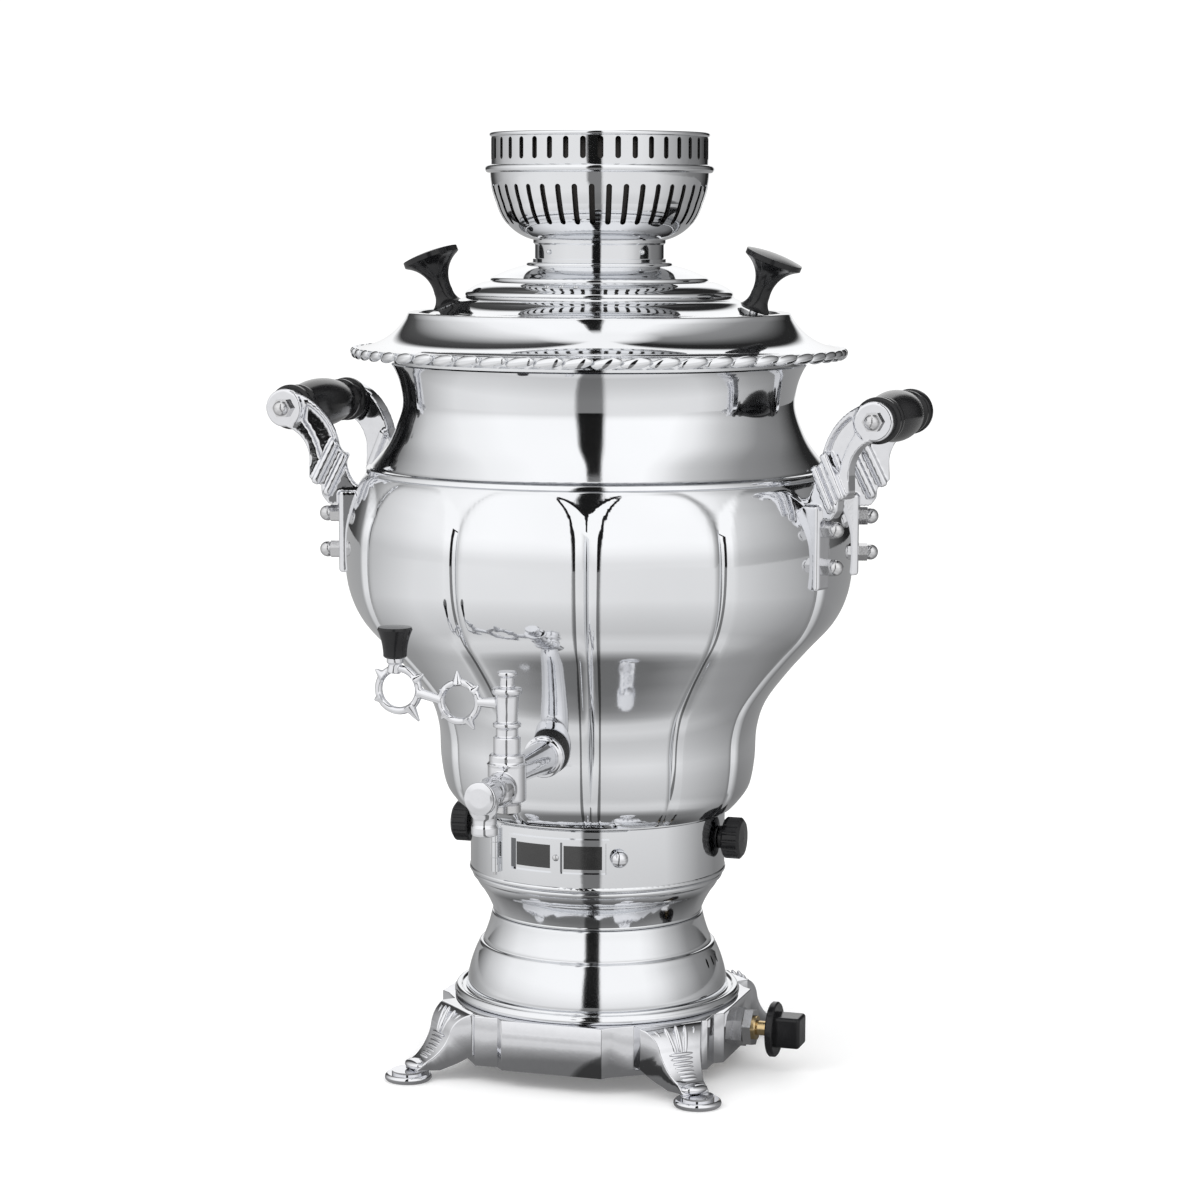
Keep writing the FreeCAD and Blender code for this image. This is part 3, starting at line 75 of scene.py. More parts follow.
LOBES = 12
LOBE_STEPS = 36
LOBE_TOP = 345.0
ARCH_R = 24.0
VALLEY_HALF = 1.2
VALLEY_DEPTH = 3.6
VALLEY_EDGE = 2.8
LOBE_RISE = 0.5
LOBE_FLATTEN = 1.3
CREST = ((152.0, 78.0), (157.0, 82.5), (165.0, 87.4), (180.0, 90.0), (198.0, 91.0), (214.0, 96.2),
         (231.0, 108.6), (246.0, 121.8), (260.0, 134.6), (274.0, 141.8), (290.0, 145.0), (312.0, 145.0),
         (328.0, 141.4), (336.0, 138.6), (341.0, 136.4), (LOBE_TOP, 134.2))

# Sheet walls of the visual pieces, in millimetres
TANK_SHEET = 1.4
LID_SHEET = 1.2
PEDESTAL_SHEET = 1.1

# Rope edge of the rim: number of leaves and half sizes of one leaf
ROPE_LEAVES = 56
ROPE_LEAF = (8.6, 2.7, 3.1)

# Camera, fitted to the round seams of the photograph, whose frame is taken as 1200 pixels wide
FRAME_PIXELS = 1200
FOCAL_PIXELS = 3140
CAMERA_AZIMUTH = 17.6
CAMERA_DISTANCE = 1813.0
CAMERA_HEIGHT = 496.1
CAMERA_PITCH = 7.08
CAMERA_ROLL = 0.18
CAMERA_YAW = -0.03


# Shader helpers

class Wire:
    """A socket in a node sheet. Sums and products of wires add the Math nodes they need."""

    def __init__(self, sheet, socket):
        self.sheet = sheet
        self.socket = socket

    def calc(self, operation, *values):
        return self.sheet.node("ShaderNodeMath", {"operation": operation}, dict(enumerate(values)))

    def __add__(self, other):
        return self.calc("ADD", self, other)

    __radd__ = __add__

    def __mul__(self, other):
        return self.calc("MULTIPLY", self, other)

    __rmul__ = __mul__

    def __truediv__(self, other):
        return self.calc("DIVIDE", self, other)


class Sheet:
    """The node tree of one material or of the world."""

    def __init__(self, tree):
        self.tree = tree
        tree.nodes.clear()

    def node(self, kind, settings=None, values=None, out=0):
        made = self.tree.nodes.new(kind)
        for key, value in (settings or {}).items():
            if key == "stops":
                ramp = made.color_ramp
                while len(ramp.elements) < len(value):
                    ramp.elements.new(1.0)
                for element, (place, shade) in zip(ramp.elements, value):
                    element.position = place
                    element.color = shade if len(shade) == 4 else (*shade, 1.0)
            else:
                setattr(made, key, value)
        for key, value in (values or {}).items():
            if isinstance(value, Wire):
                self.tree.links.new(value.socket, made.inputs[key])
            else:
                made.inputs[key].default_value = value
        return Wire(self, made.outputs[out] if made.outputs else None)

    def noise(self, where, scale, detail=2.0, roughness=0.5, stretch=None):
        if stretch:
            where = self.node("ShaderNodeMapping", {}, {"Vector": where, "Scale": stretch})
        return self.node("ShaderNodeTexNoise", {}, {"Vector": where, "Scale": scale, "Detail": detail,
                                                     "Roughness": roughness})

    def ramp(self, value, stops):
        return self.node("ShaderNodeValToRGB", {"stops": stops}, {0: value})

    def bump(self, height, strength, distance, under=None):
        values = {"Height": height, "Strength": strength, "Distance": distance}
        if under:
            values["Normal"] = under
        return self.node("ShaderNodeBump", {}, values)


def grey(value, alpha=1.0):
    return (value, value, value, alpha)


def new_material(name):
    material = bpy.data.materials.new(name)
    material.use_nodes = True
    return material, Sheet(material.node_tree)


def finish_material(sheet, shader):
    sheet.node("ShaderNodeOutputMaterial", {}, {"Surface": shader})


def plated(name, tint, rough, ripple, grain, smudge=0.05):
    """Bright plate: soft smudges, a faint waviness of the sheet and a fine grain."""
    material, sheet = new_material(name)
    where = sheet.node("ShaderNodeTexCoord", out=3)
    broad = sheet.noise(where, 14.0, 2.0)
    film = sheet.noise(where, 60.0, 4.0, 0.6)
    fine = sheet.noise(where, 900.0, 2.0)
    shade = sheet.ramp(broad, [(0.3, tuple(0.95 * c for c in tint)), (0.7, tint)])
    roughness = film * smudge + rough
    wave = sheet.bump(broad, ripple, 0.004)
    normal = sheet.bump(fine, grain, 0.0002, wave)
    finish_material(sheet, sheet.node("ShaderNodeBsdfPrincipled", {}, {
        "Base Color": shade, "Metallic": 1.0, "Roughness": roughness, "Normal": normal}))
    return material


def cast_plated(name, tint, rough):
    """Plate over a casting: an orange-peel skin with shallow pits."""
    material, sheet = new_material(name)
    where = sheet.node("ShaderNodeTexCoord", out=3)
    peel = sheet.noise(where, 220.0, 3.0, 0.55)
    pits = sheet.noise(where, 700.0, 2.0)
    shade = sheet.ramp(peel, [(0.3, tuple(0.96 * c for c in tint)), (0.65, tint)])
    swell = sheet.bump(peel, 0.05, 0.0005)
    normal = sheet.bump(pits, 0.04, 0.0002, swell)
    finish_material(sheet, sheet.node("ShaderNodeBsdfPrincipled", {}, {
        "Base Color": shade, "Metallic": 1.0, "Roughness": peel * 0.05 + rough, "Normal": normal}))
    return material


def moulded(name, tint, rough, coat, grain):
    """Moulded plastic or rubber with a faint skin texture and handling marks."""
    material, sheet = new_material(name)
    where = sheet.node("ShaderNodeTexCoord", out=3)
    skin = sheet.noise(where, 500.0, 3.0)
    wear = sheet.noise(where, 45.0, 3.0, 0.6)
    shade = sheet.ramp(wear, [(0.35, tint), (0.75, tuple(c + 0.010 for c in tint))])
    normal = sheet.bump(skin, grain, 0.0003)
    finish_material(sheet, sheet.node("ShaderNodeBsdfPrincipled", {}, {
        "Base Color": shade, "Roughness": wear * 0.12 + rough, "Specular IOR Level": 0.3,
        "Coat Weight": coat, "Coat Roughness": 0.1, "Normal": normal}))
    return material


def mica(name, dark, light):
    """Smoky window sheet: cloudy layers and thin scratches."""
    material, sheet = new_material(name)
    where = sheet.node("ShaderNodeTexCoord", out=3)
    cloud = sheet.noise(where, 40.0, 4.0, 0.6, (1.0, 1.0, 2.5))
    scratch = sheet.noise(where, 260.0, 2.0, 0.5, (1.0, 1.0, 0.15))
    shade = sheet.ramp(cloud, [(0.3, grey(dark)), (0.75, grey(light))])
    normal = sheet.bump(cloud, 0.25, 0.0005)
    finish_material(sheet, sheet.node("ShaderNodeBsdfPrincipled", {}, {
        "Base Color": shade, "Roughness": scratch * 0.2 + 0.05, "IOR": 1.75, "Normal": normal}))
    return material


def rough_iron(name):
    material, sheet = new_material(name)
    where = sheet.node("ShaderNodeTexCoord", out=3)
    lumps = sheet.noise(where, 350.0, 4.0, 0.65)
    stain = sheet.noise(where, 35.0, 3.0)
    shade = sheet.ramp(stain, [(0.3, (0.05, 0.05, 0.052)), (0.7, (0.13, 0.10, 0.085))])
    normal = sheet.bump(lumps, 0.6, 0.0006)
    finish_material(sheet, sheet.node("ShaderNodeBsdfPrincipled", {}, {
        "Base Color": shade, "Metallic": 0.6, "Roughness": lumps * 0.3 + 0.45, "Normal": normal}))
    return material


POLISHED = plated("polished chrome", (0.80, 0.81, 0.83), 0.03, 0.05, 0.02)
SPUN = plated("spun chrome", (0.78, 0.79, 0.81), 0.05, 0.08, 0.03)
CAST = cast_plated("cast chrome", (0.77, 0.775, 0.80), 0.02)
FASTENER = plated("plated steel", (0.66, 0.66, 0.67), 0.16, 0.02, 0.08)
FLUE = plated("rolled flue steel", (0.55, 0.55, 0.56), 0.22, 0.08, 0.10, 0.12)
BRASS = plated("turned brass", (0.66, 0.50, 0.27), 0.14, 0.02, 0.06, 0.10)
# Near-black plate for the lining of painted shade inside the crown
PAINTED_SHADE_STEEL = plated("painted shade dark steel", (0.045, 0.042, 0.040), 0.45, 0.05, 0.20, 0.15)
BLACK = moulded("gloss black", (0.006, 0.006, 0.007), 0.14, 0.12, 0.04)
RUBBER = moulded("black rubber", (0.020, 0.020, 0.020), 0.55, 0.0, 0.12)
MICA = mica("mica pane", 0.006, 0.022)
IRON = rough_iron("burner iron")

FINISHES = {"polished_chrome": POLISHED, "cast_chrome": CAST, "black_gloss": BLACK, "mica_pane": MICA,
            "rubber_seal": RUBBER, "brass_fitting": BRASS, "plated_fastener": FASTENER,
            "burner_iron": IRON, "flue_steel": FLUE}


def dress(piece, material):
    piece.data.materials.clear()
    piece.data.materials.append(material)


def dress_frame():
    """Every carried-over node takes the finish of its slot in the record."""
    for part in frame["record"]["subparts"]:
        piece = frame["nodes"][part["node"]]
        material = FINISHES[part["material_slot"]]
        if not piece.data.materials:
            piece.data.materials.append(material)
        for index in range(len(piece.data.materials)):
            piece.data.materials[index] = material


# Modelling helpers

def clear_selection():
    bpy.ops.object.select_all(action="DESELECT")


def begin_outline(name, x, z):
    """A new piece holding one point, open in edit mode and ready to be drawn out."""
    clear_selection()
    bpy.ops.mesh.primitive_plane_add(size=MM, location=(0, 0, 0))
    piece = bpy.context.object
    piece.name = name
    piece.data.name = name
    bpy.ops.object.mode_set(mode="EDIT")
    bpy.ops.mesh.select_all(action="SELECT")
    bpy.ops.mesh.merge(type="CENTER")
    bpy.ops.transform.translate(value=(x * MM, 0, z * MM))
    return piece


def draw_outline(points):
    here = points[0]
    for x, z in points[1:]:
        bpy.ops.mesh.extrude_vertices_move(
            TRANSFORM_OT_translate={"value": ((x - here[0]) * MM, 0, (z - here[1]) * MM)})
        here = (x, z)


def turned_piece(name, points, steps=240, smooth_angle=35.0):
    """Outline of (radius, height) points in millimetres, spun about Z and closed."""
    piece = begin_outline(name, *points[0])
    draw_outline(points)
    bpy.ops.mesh.select_all(action="SELECT")
    bpy.ops.mesh.spin(steps=steps, angle=2 * math.pi, center=(0, 0, 0), axis=(0, 0, 1))
    bpy.ops.mesh.select_all(action="SELECT")
    bpy.ops.mesh.remove_doubles(threshold=0.01 * MM)
    bpy.ops.mesh.normals_make_consistent(inside=False)
    bpy.ops.object.mode_set(mode="OBJECT")
    shade(piece, smooth_angle)
    return piece


def shade(piece, smooth_angle):
    clear_selection()
    piece.select_set(True)
    bpy.context.view_layer.objects.active = piece
    bpy.ops.object.shade_smooth_by_angle(angle=math.radians(smooth_angle))


def apply_modifier(piece, kind, **settings):
    clear_selection()
    piece.select_set(True)
    bpy.context.view_layer.objects.active = piece
    modifier = piece.modifiers.new(kind.lower(), kind)
    for key, value in settings.items():
        setattr(modifier, key, value)
    bpy.ops.object.modifier_apply(modifier=modifier.name)


def cut_away(piece, tool):
    apply_modifier(piece, "BOOLEAN", operation="DIFFERENCE", solver="EXACT", object=tool)
    bpy.data.objects.remove(tool)


def put(piece, place=(0, 0, 0), turn=(0, 0, 0)):
    """Turns and moves a piece, then bakes its place into its mesh."""
    clear_selection()
    piece.select_set(True)
    bpy.context.view_layer.objects.active = piece
    piece.rotation_euler = turn
    piece.location = [c * MM for c in place]
    bpy.ops.object.transform_apply(location=True, rotation=True, scale=True)


def join(name, pieces):
    clear_selection()
    for piece in pieces:
        piece.select_set(True)
    bpy.context.view_layer.objects.active = pieces[0]
    bpy.ops.object.join()
    pieces[0].name = name
    pieces[0].data.name = name
    return pieces[0]


def arc(start, middle, end, count):
    """Points along the circle through three points, without the start."""
    (ax, ay), (bx, by), (cx, cy) = start, middle, end
    d = 2 * (ax * (by - cy) + bx * (cy - ay) + cx * (ay - by))
    a2, b2, c2 = ax * ax + ay * ay, bx * bx + by * by, cx * cx + cy * cy
    ux = (a2 * (by - cy) + b2 * (cy - ay) + c2 * (ay - by)) / d
    uy = (a2 * (cx - bx) + b2 * (ax - cx) + c2 * (bx - ax)) / d
    first = math.atan2(ay - uy, ax - ux)
    via = (math.atan2(by - uy, bx - ux) - first) % (2 * math.pi)
    last = (math.atan2(cy - uy, cx - ux) - first) % (2 * math.pi)
    sweep = last if via < last else last - 2 * math.pi
    radius = math.hypot(ax - ux, ay - uy)
    turns = [first + sweep * i / count for i in range(1, count + 1)]
    return [(ux + radius * math.cos(turn), uy + radius * math.sin(turn)) for turn in turns]


def outline(points, count=10):
    """Outline points: a pair is a corner, a pair of pairs is an arc's middle and end."""
    path = [points[0]]
    for item in points[1:]:
        if isinstance(item[0], tuple):
            path += arc(path[-1], item[0], item[1], count)
        else:
            path.append(item)
    return path


def flowing(points, per_span):
    """Points along a smooth curve through the given ones."""
    path = [points[0]]
    for i in range(len(points) - 1):
        p0 = points[max(i - 1, 0)]
        p1, p2 = points[i], points[i + 1]
        p3 = points[min(i + 2, len(points) - 1)]
        for k in range(1, per_span + 1):
            t = k / per_span
            path.append(tuple(0.5 * (2 * b + (c - a) * t + (2 * a - 5 * b + 4 * c - d) * t * t
                                     + (3 * b - a - 3 * c + d) * t ** 3)
                              for a, b, c, d in zip(p0, p1, p2, p3)))
    return path


def own(piece, body, slot, material, *nodes):
    """A finished piece: its finish, its body and the nodes it stands for."""
    dress(piece, material)
    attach(piece, body)
    if nodes:
        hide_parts(*nodes)
    return piece


def node_copy(name, node):
    """A loose copy of a carried-over mesh with its doubled vertices merged."""
    clear_selection()
    source = frame["nodes"][node]
    piece = source.copy()
    piece.data = source.data.copy()
    piece.name = name
    piece.data.name = name
    bpy.context.scene.collection.objects.link(piece)
    matrix = source.matrix_world.copy()
    piece.parent = None
    piece.matrix_world = matrix
    piece.select_set(True)
    bpy.context.view_layer.objects.active = piece
    bpy.ops.object.transform_apply(location=True, rotation=True, scale=True)
    bpy.ops.object.mode_set(mode="EDIT")
    bpy.ops.mesh.select_all(action="SELECT")
    bpy.ops.mesh.remove_doubles(threshold=0.01 * MM)
    bpy.ops.mesh.normals_make_consistent(inside=False)
    bpy.ops.object.mode_set(mode="OBJECT")
    if piece.data.has_custom_normals:
        bpy.ops.mesh.customdata_custom_splitnormals_clear()
    return piece


def softened(piece, voxel, passes):
    """Rounds every corner of a closed piece the way a polished casting is rounded."""
    apply_modifier(piece, "REMESH", mode="VOXEL", voxel_size=voxel * MM)
    apply_modifier(piece, "SMOOTH", factor=0.5, iterations=passes)
    shade(piece, 180)
    return piece


def ball(name, place, radii, turn=(0, 0, 0), segments=24):
    clear_selection()
    bpy.ops.mesh.primitive_uv_sphere_add(segments=segments, ring_count=segments // 2, radius=MM)
    piece = bpy.context.object
    piece.name = name
    bpy.ops.object.mode_set(mode="EDIT")
    bpy.ops.transform.resize(value=radii)
    bpy.ops.object.mode_set(mode="OBJECT")
    put(piece, place, turn)
    return piece


def pin(name, start, end, radius, tip=None, sides=24):
    """Round bar between two points, tapered when a tip radius is given."""
    clear_selection()
    low, high = Vector(start), Vector(end)
    end_radius = radius if tip is None else tip
    bpy.ops.mesh.primitive_cone_add(vertices=sides, radius1=radius * MM, radius2=end_radius * MM,
                                    depth=(high - low).length * MM)
    piece = bpy.context.object
    piece.name = name
    put(piece, (low + high) / 2, (high - low).to_track_quat("Z", "Y").to_euler())
    return piece


def ring(name, place, radius, thickness, turn=(0, 0, 0)):
    clear_selection()
    bpy.ops.mesh.primitive_torus_add(major_segments=64, minor_segments=16, major_radius=radius * MM,
                                     minor_radius=thickness * MM)
    piece = bpy.context.object
    piece.name = name
    put(piece, place, turn)
    return piece


# Tank

def lobe_fall(angle, radius, z):
    """How far the tank's surface lies under the lobes' crest at a point."""
    if z > LOBE_TOP + 2:
        return 0.0
    pitch = 2 * math.pi / LOBES
    off = abs((angle + pitch / 2) % pitch - pitch / 2) * radius
    spring = LOBE_TOP - ARCH_R
    share = min(1.0, max(0.0, (z - BAND_TOP) / (spring - BAND_TOP)))
    half = radius * pitch / 2 - VALLEY_HALF * (0.35 + 0.65 * share)
    arch = min(ARCH_R, half)
    dx = off - (half - arch)
    dz = z - (LOBE_TOP - arch)
    if dx > 0 and dz > 0:
        inside = arch - math.hypot(dx, dz)
    else:
        inside = min(half - off, LOBE_TOP - z)
    step = min(1.0, max(0.0, 1 - inside / VALLEY_EDGE))
    step = step * step * (3 - 2 * step)
    fade = min(1.0, 0.3 + max(0.0, z - BAND_TOP) / 60.0)
    top_fade = min(1.0, max(0.25, (LOBE_TOP + 4 - z) / 26.0))
    flat = LOBE_RISE - LOBE_FLATTEN * min(1.0, off / half) ** 2
    return VALLEY_DEPTH * fade * top_fade * step + flat * fade * min(1.0, max(0.0, (LOBE_TOP - z) / 30.0))


def tank_body():
    lobes = flowing([(r, z) for z, r in CREST], 4)
    shoulder = outline([lobes[-1], (133.4, SHOULDER_Z - 1.6), ((133.0, SHOULDER_Z - 0.2), (131.6, SHOULDER_Z + 0.2)),
                        (130.4, SHOULDER_Z + 1.0)], 5)[1:]
    neck = flowing([(130.4, SHOULDER_Z + 1.0), (126.0, 354.4), (120.5, 361.7), (116.7, 368.6), (112.8, 379.0),
                    (111.6, 386.0), (112.3, 393.0), (114.0, 400.0), (116.6, 406.0), (118.5, RIM_FOOT_Z)], 3)[1:]
    outer = lobes + shoulder + neck
    piece = turned_piece("tank_body", outer, steps=LOBES * LOBE_STEPS, smooth_angle=60)
    # Columns stand closer halfway between crest and valley than at either
    pitch = 2 * math.pi / LOBES
    for vertex in piece.data.vertices:
        x, y, z = vertex.co
        radius = math.hypot(x, y)
        angle = math.atan2(y, x) + math.pi / 2
        turn = (angle + pitch / 2) % pitch - pitch / 2
        share = turn / (pitch / 2)
        angle += 0.10 * math.sin(2 * math.pi * share) * pitch / 2
        radius -= lobe_fall(angle, radius / MM, z / MM) * MM
        vertex.co.x = radius * math.cos(angle - math.pi / 2)
        vertex.co.y = radius * math.sin(angle - math.pi / 2)
    apply_modifier(piece, "SOLIDIFY", thickness=TANK_SHEET * MM, offset=-1.0)
    shade(piece, 60)
    return own(piece, "root", "polished_chrome", POLISHED, "tank_shell")


# Rim collar

def rim():
    edge = RIM_R - 3.0
    skirt = outline([(RIM_BORE_R, LID_SEAT), (RIM_BORE_R, RIM_TOP - 0.6), ((104.4, RIM_TOP - 0.1), (105.0, RIM_TOP)),
                     (108.8, RIM_TOP), ((109.8, RIM_TOP - 0.3), (110.3, RIM_TOP - 1.4)),
                     ((118.0, RIM_TOP - 11.2), (edge, RIM_EDGE_Z + 2.6)), (edge, RIM_EDGE_Z + 1.2),
                     ((117.2, RIM_TOP - 12.8), (107.8, RIM_TOP - 1.6)), (105.6, RIM_TOP - 1.6),
                     (105.6, RIM_FOOT_Z + 1.5), (118.6, RIM_FOOT_Z + 1.5), (118.6, RIM_FOOT_Z), (RIM_BORE_R, RIM_FOOT_Z),
                     (RIM_BORE_R, LID_SEAT - 1.5), (98.0, LID_SEAT - 1.5), (98.0, LID_SEAT), (RIM_BORE_R, LID_SEAT)], 16)
    piece = turned_piece("rim_collar_skirt", skirt, steps=360)
    own(piece, "root", "polished_chrome", POLISHED, "rim_collar")
    pitch = 2 * math.pi / ROPE_LEAVES
    leaves = []
    for i in range(ROPE_LEAVES):
        clear_selection()
        bpy.ops.mesh.primitive_uv_sphere_add(segments=16, ring_count=10, radius=MM)
        leaf = bpy.context.object
        bpy.ops.object.mode_set(mode="EDIT")
        bpy.ops.transform.resize(value=ROPE_LEAF)
        bpy.ops.object.mode_set(mode="OBJECT")
        for vertex in leaf.data.vertices:
            reach = vertex.co.x / (ROPE_LEAF[0] * MM)
            vertex.co.z += 1.1 * MM * reach
            vertex.co.y += -0.8 * MM * reach
        turn = i * pitch
        out = edge + 0.4
        put(leaf, (out * math.cos(turn), out * math.sin(turn), RIM_EDGE_Z), (0, 0, turn + math.pi / 2))
        leaves.append(leaf)
    rope = join("rim_rope_edge", leaves)
    shade(rope, 60)
    own(rope, "root", "polished_chrome", POLISHED)


# Lid

def lid_dome():
    peak = LID_CROWN_Z
    top = [(FLUE_R + 1.0, peak), (40.6, peak),
           ((41.6, peak - 0.3), (42.0, peak - 1.6)), ((52.0, peak - 4.4), (61.6, peak - 8.6)),
           ((62.6, peak - 9.2), (62.8, peak - 10.6)), ((64.2, peak - 11.6), (66.2, peak - 11.4)),
           ((71.5, peak - 13.4), (76.0, peak - 16.4)), ((77.0, peak - 17.4), (77.0, peak - 19.0)),
           ((78.4, peak - 20.6), (80.4, peak - 21.4)), ((87.0, peak - 25.8), (96.0, peak - 28.8)),
           (102.6, LID_SEAT + 1.9), ((103.4, LID_SEAT + 1.4), (103.4, LID_SEAT + 0.1)), (101.0, LID_SEAT + 0.1)]
    piece = turned_piece("lid_dome", outline(top, 7), steps=300)
    apply_modifier(piece, "SOLIDIFY", thickness=LID_SHEET * MM, offset=-1.0)
    punches = []
    for offset in (-8.5, 0.0, 8.5):
        clear_selection()
        bpy.ops.mesh.primitive_cylinder_add(vertices=24, radius=1.7 * MM, depth=30 * MM)
        put(bpy.context.object, (offset, -70, LID_CROWN_Z - 14))
        punches.append(bpy.context.object)
    cut_away(piece, join("punch", punches))
    shade(piece, 35)
    return own(piece, "lid", "polished_chrome", POLISHED, "lid")


# Crown

def crown_painted_shade_sleeve():
    """Thin dark lining of painted shade just inside the slotted wall, which keeps the slots black."""
    gap = 1.9
    ring_in = CROWN_RING_R - gap
    lining = outline([(COLLAR_R - gap, LID_CROWN_Z + 12.5), ((52.3 - gap, 489.0), (59.0 - gap, 500.0)),
                      ((61.8 - gap, 509.0), (ring_in, CROWN_BEAD_Z)), (ring_in, CROWN_TOP - 2.2)], 10)
    piece = turned_piece("crown_painted_shade_sleeve", lining, steps=160)
    apply_modifier(piece, "SOLIDIFY", thickness=0.4 * MM, offset=-1.0)
    return own(piece, "crown", "flue_steel", PAINTED_SHADE_STEEL)


# Pedestal

def pedestal():
    foot = BASE_TOP
    drum = outline([(82.0, foot), ((83.9, foot + 1.6), (83.2, foot + 3.6)), ((81.6, foot + 5.4), (79.6, foot + 4.6)),
                    ((78.0, foot + 3.8), (76.6, foot + 6.0)), ((73.9, foot + 19.0), (69.6, 68.6)),
                    ((68.8, 70.0), (67.6, 70.6)), ((67.0, 71.0), (66.8, 71.8)), ((63.9, 79.6), (62.0, DRUM_TOP - 1)),
                    ((61.6, DRUM_TOP - 0.3), (60.6, DRUM_TOP)), (57.0, DRUM_TOP)], 9)
    piece = turned_piece("pedestal_drum_skin", drum, steps=300)
    apply_modifier(piece, "SOLIDIFY", thickness=PEDESTAL_SHEET * MM, offset=-1.0)
    vents = []
    for angle in VENT_ANGLES:
        turn = math.radians(angle - 90)
        place = (72 * math.cos(turn), 72 * math.sin(turn), VENT_Z)
        vents.append(ball("vent", place, (9.0, 1.0, 3.0), (0, 0, turn)))
    cut_away(piece, join("vent", vents))
    shade(piece, 35)
    own(piece, "root", "polished_chrome", SPUN, "pedestal_drum")
    cup = outline([(57.0, DRUM_TOP + 0.1), (60.2, DRUM_TOP + 0.1), ((61.2, DRUM_TOP + 0.6), (61.2, DRUM_TOP + 2.0)),
                   ((64.0, 96.5), (68.0, 103.0)), ((70.4, 106.4), (71.4, 108.6)), ((72.6, 109.4), (73.2, 110.6)),
                   ((73.2, 112.4), (72.0, NECK_TOP)), (67.0, NECK_TOP)], 9)
    piece = turned_piece("pedestal_neck_cup", cup, steps=300)
    apply_modifier(piece, "SOLIDIFY", thickness=PEDESTAL_SHEET * MM, offset=-1.0)
    shade(piece, 35)
    own(piece, "root", "polished_chrome", SPUN, "pedestal_neck")


# Base casting and legs

def base_and_legs():
    piece = node_copy("base_casting_skin", "base_casting")
    apply_modifier(piece, "BEVEL", width=0.9 * MM, segments=3, limit_method="ANGLE", angle_limit=math.radians(30))
    shade(piece, 40)
    own(piece, "root", "cast_chrome", CAST, "base_casting")
    relief = []
    for i in range(5):
        spread = (i - 2) / 2
        relief.append(ball("flute", (99.5 - 1.2 * abs(spread), 9.0 * spread, 32.2 - 1.4 * abs(spread)),
                           (1.9, 1.9, 8.6), (math.radians(-12) * spread * 2.2, math.radians(-26), 0)))
    ladder = arc((103.2, 25.0), (106.6, 17.6), (114.5, 11.4), 7)
    for i, (x, z) in enumerate([(103.2, 25.0)] + ladder[:-1]):
        relief.append(ball("rib", (x, 0, z), (1.3, 7.6 - 0.35 * i, 1.0), (0, math.radians(35 + 4 * i), 0), 16))
    relief.append(ball("heel", (FOOT_REACH - 4.5, 0, 8.6), (5.6, 8.4, 3.0)))
    legs = join("leg_relief", relief)
    copies = [legs]
    for _ in range(3):
        clear_selection()
        legs.select_set(True)
        bpy.context.view_layer.objects.active = legs
        bpy.ops.object.duplicate()
        copies.append(bpy.context.object)
    for quarter, copy in enumerate(copies):
        put(copy, (0, 0, 0), (0, 0, math.radians(45 + 90 * quarter)))
    piece = join("leg_relief", copies)
    shade(piece, 60)
    own(piece, "root", "cast_chrome", CAST)


# Handle brackets

def brackets():
    for side in ("left", "right"):
        for end in ("front", "rear"):
            node = "handle_bracket_" + side + "_" + end
            piece = softened(node_copy(node + "_casting", node), 0.7, 4)
            own(piece, "root", "cast_chrome", CAST, node)


# Tap

def tap():
    body = node_copy("tap_body_casting", "tap_body")
    horn = [body,
            ball("belly", (0, TAP_Y - 12, TAP_Z - 6), (8.6, 13.0, 9.4)),
            ball("throat", (0, TAP_Y - 27, TAP_Z - 4.5), (7.4, 12.0, 8.4)),
            ball("cheek", (0, TAP_Y - 38, TAP_Z - 9), (8.4, 6.0, 10.0))]
    body = join("tap_body_casting", horn)
    softened(body, 0.45, 5)
    own(body, "root", "cast_chrome", CAST, "tap_body")

    turn = (math.pi / 2, 0, 0)
    column = turned_piece("tap_key_casting", outline(
        [(0, 182), (7.0, 182), (7.0, 207.2), (7.4, 207.2), (7.4, 216), (6.0, 216.4), (6.0, 221), (7.6, 221.6),
         (7.6, 223.6), (5.7, 224.4), (6.4, 238.6), (7.9, 239.4), ((8.3, 241), (7.9, 242.6)), (4.2, 243.4),
         (3.9, 248.6), (5.4, 249.2), (5.4, 251), (4.6, 251.6), (0, 251.6)], 5), 48)
    put(column, (0, TAP_Y, 0))
    lever = [column, ring("ring_one", (RING_ONE[0], TAP_Y, RING_ONE[1]), 10.6, 2.1, turn),
             ring("ring_two", (RING_TWO[0], TAP_Y, RING_TWO[1]), 11.6, 2.1, turn),
             pin("link", (-4, TAP_Y, KEY_Z), (RING_ONE[0] + 11, TAP_Y, KEY_Z), 3.4, 2.4),
             pin("link", (RING_ONE[0] - 10, TAP_Y, KEY_Z), (RING_TWO[0] + 11, TAP_Y, RING_TWO[1] - 1), 2.4, 2.8),
             pin("neck", (KNOB_X - 1, TAP_Y, RING_TWO[1] + 9), (KNOB_X, TAP_Y, KNOB_Z - 2), 3.8, 3.0),
             pin("ferrule", (KNOB_X, TAP_Y, KNOB_Z - 3), (KNOB_X, TAP_Y, KNOB_Z), 4.6),
             pin("tang", (KNOB_X, TAP_Y, KNOB_Z - 1), (KNOB_X, TAP_Y, KNOB_Z + 7), 2.1)]
    for (x, z), radius, cusps in ((RING_ONE, 11.0, ((95, 7.5), (40, 5.0), (300, 7.5), (222, 5.0), (150, 4.0))),
                                  (RING_TWO, 12.0, ((142, 6.5), (205, 5.0), (305, 10.0), (32, 6.5)))):
        for angle, length in cusps:
            lean = math.radians(angle)
            out = Vector((math.cos(lean), 0, math.sin(lean)))
            foot = Vector((x, TAP_Y, z)) + out * (radius - 1.5)
            lever.append(pin("cusp", foot, foot + out * length, 3.6, 0.6, 12))
    column = join("tap_key_casting", lever)
    softened(column, 0.42, 3)
    own(column, "tap_key", "cast_chrome", CAST, "tap_key")


# Stage, lights and camera

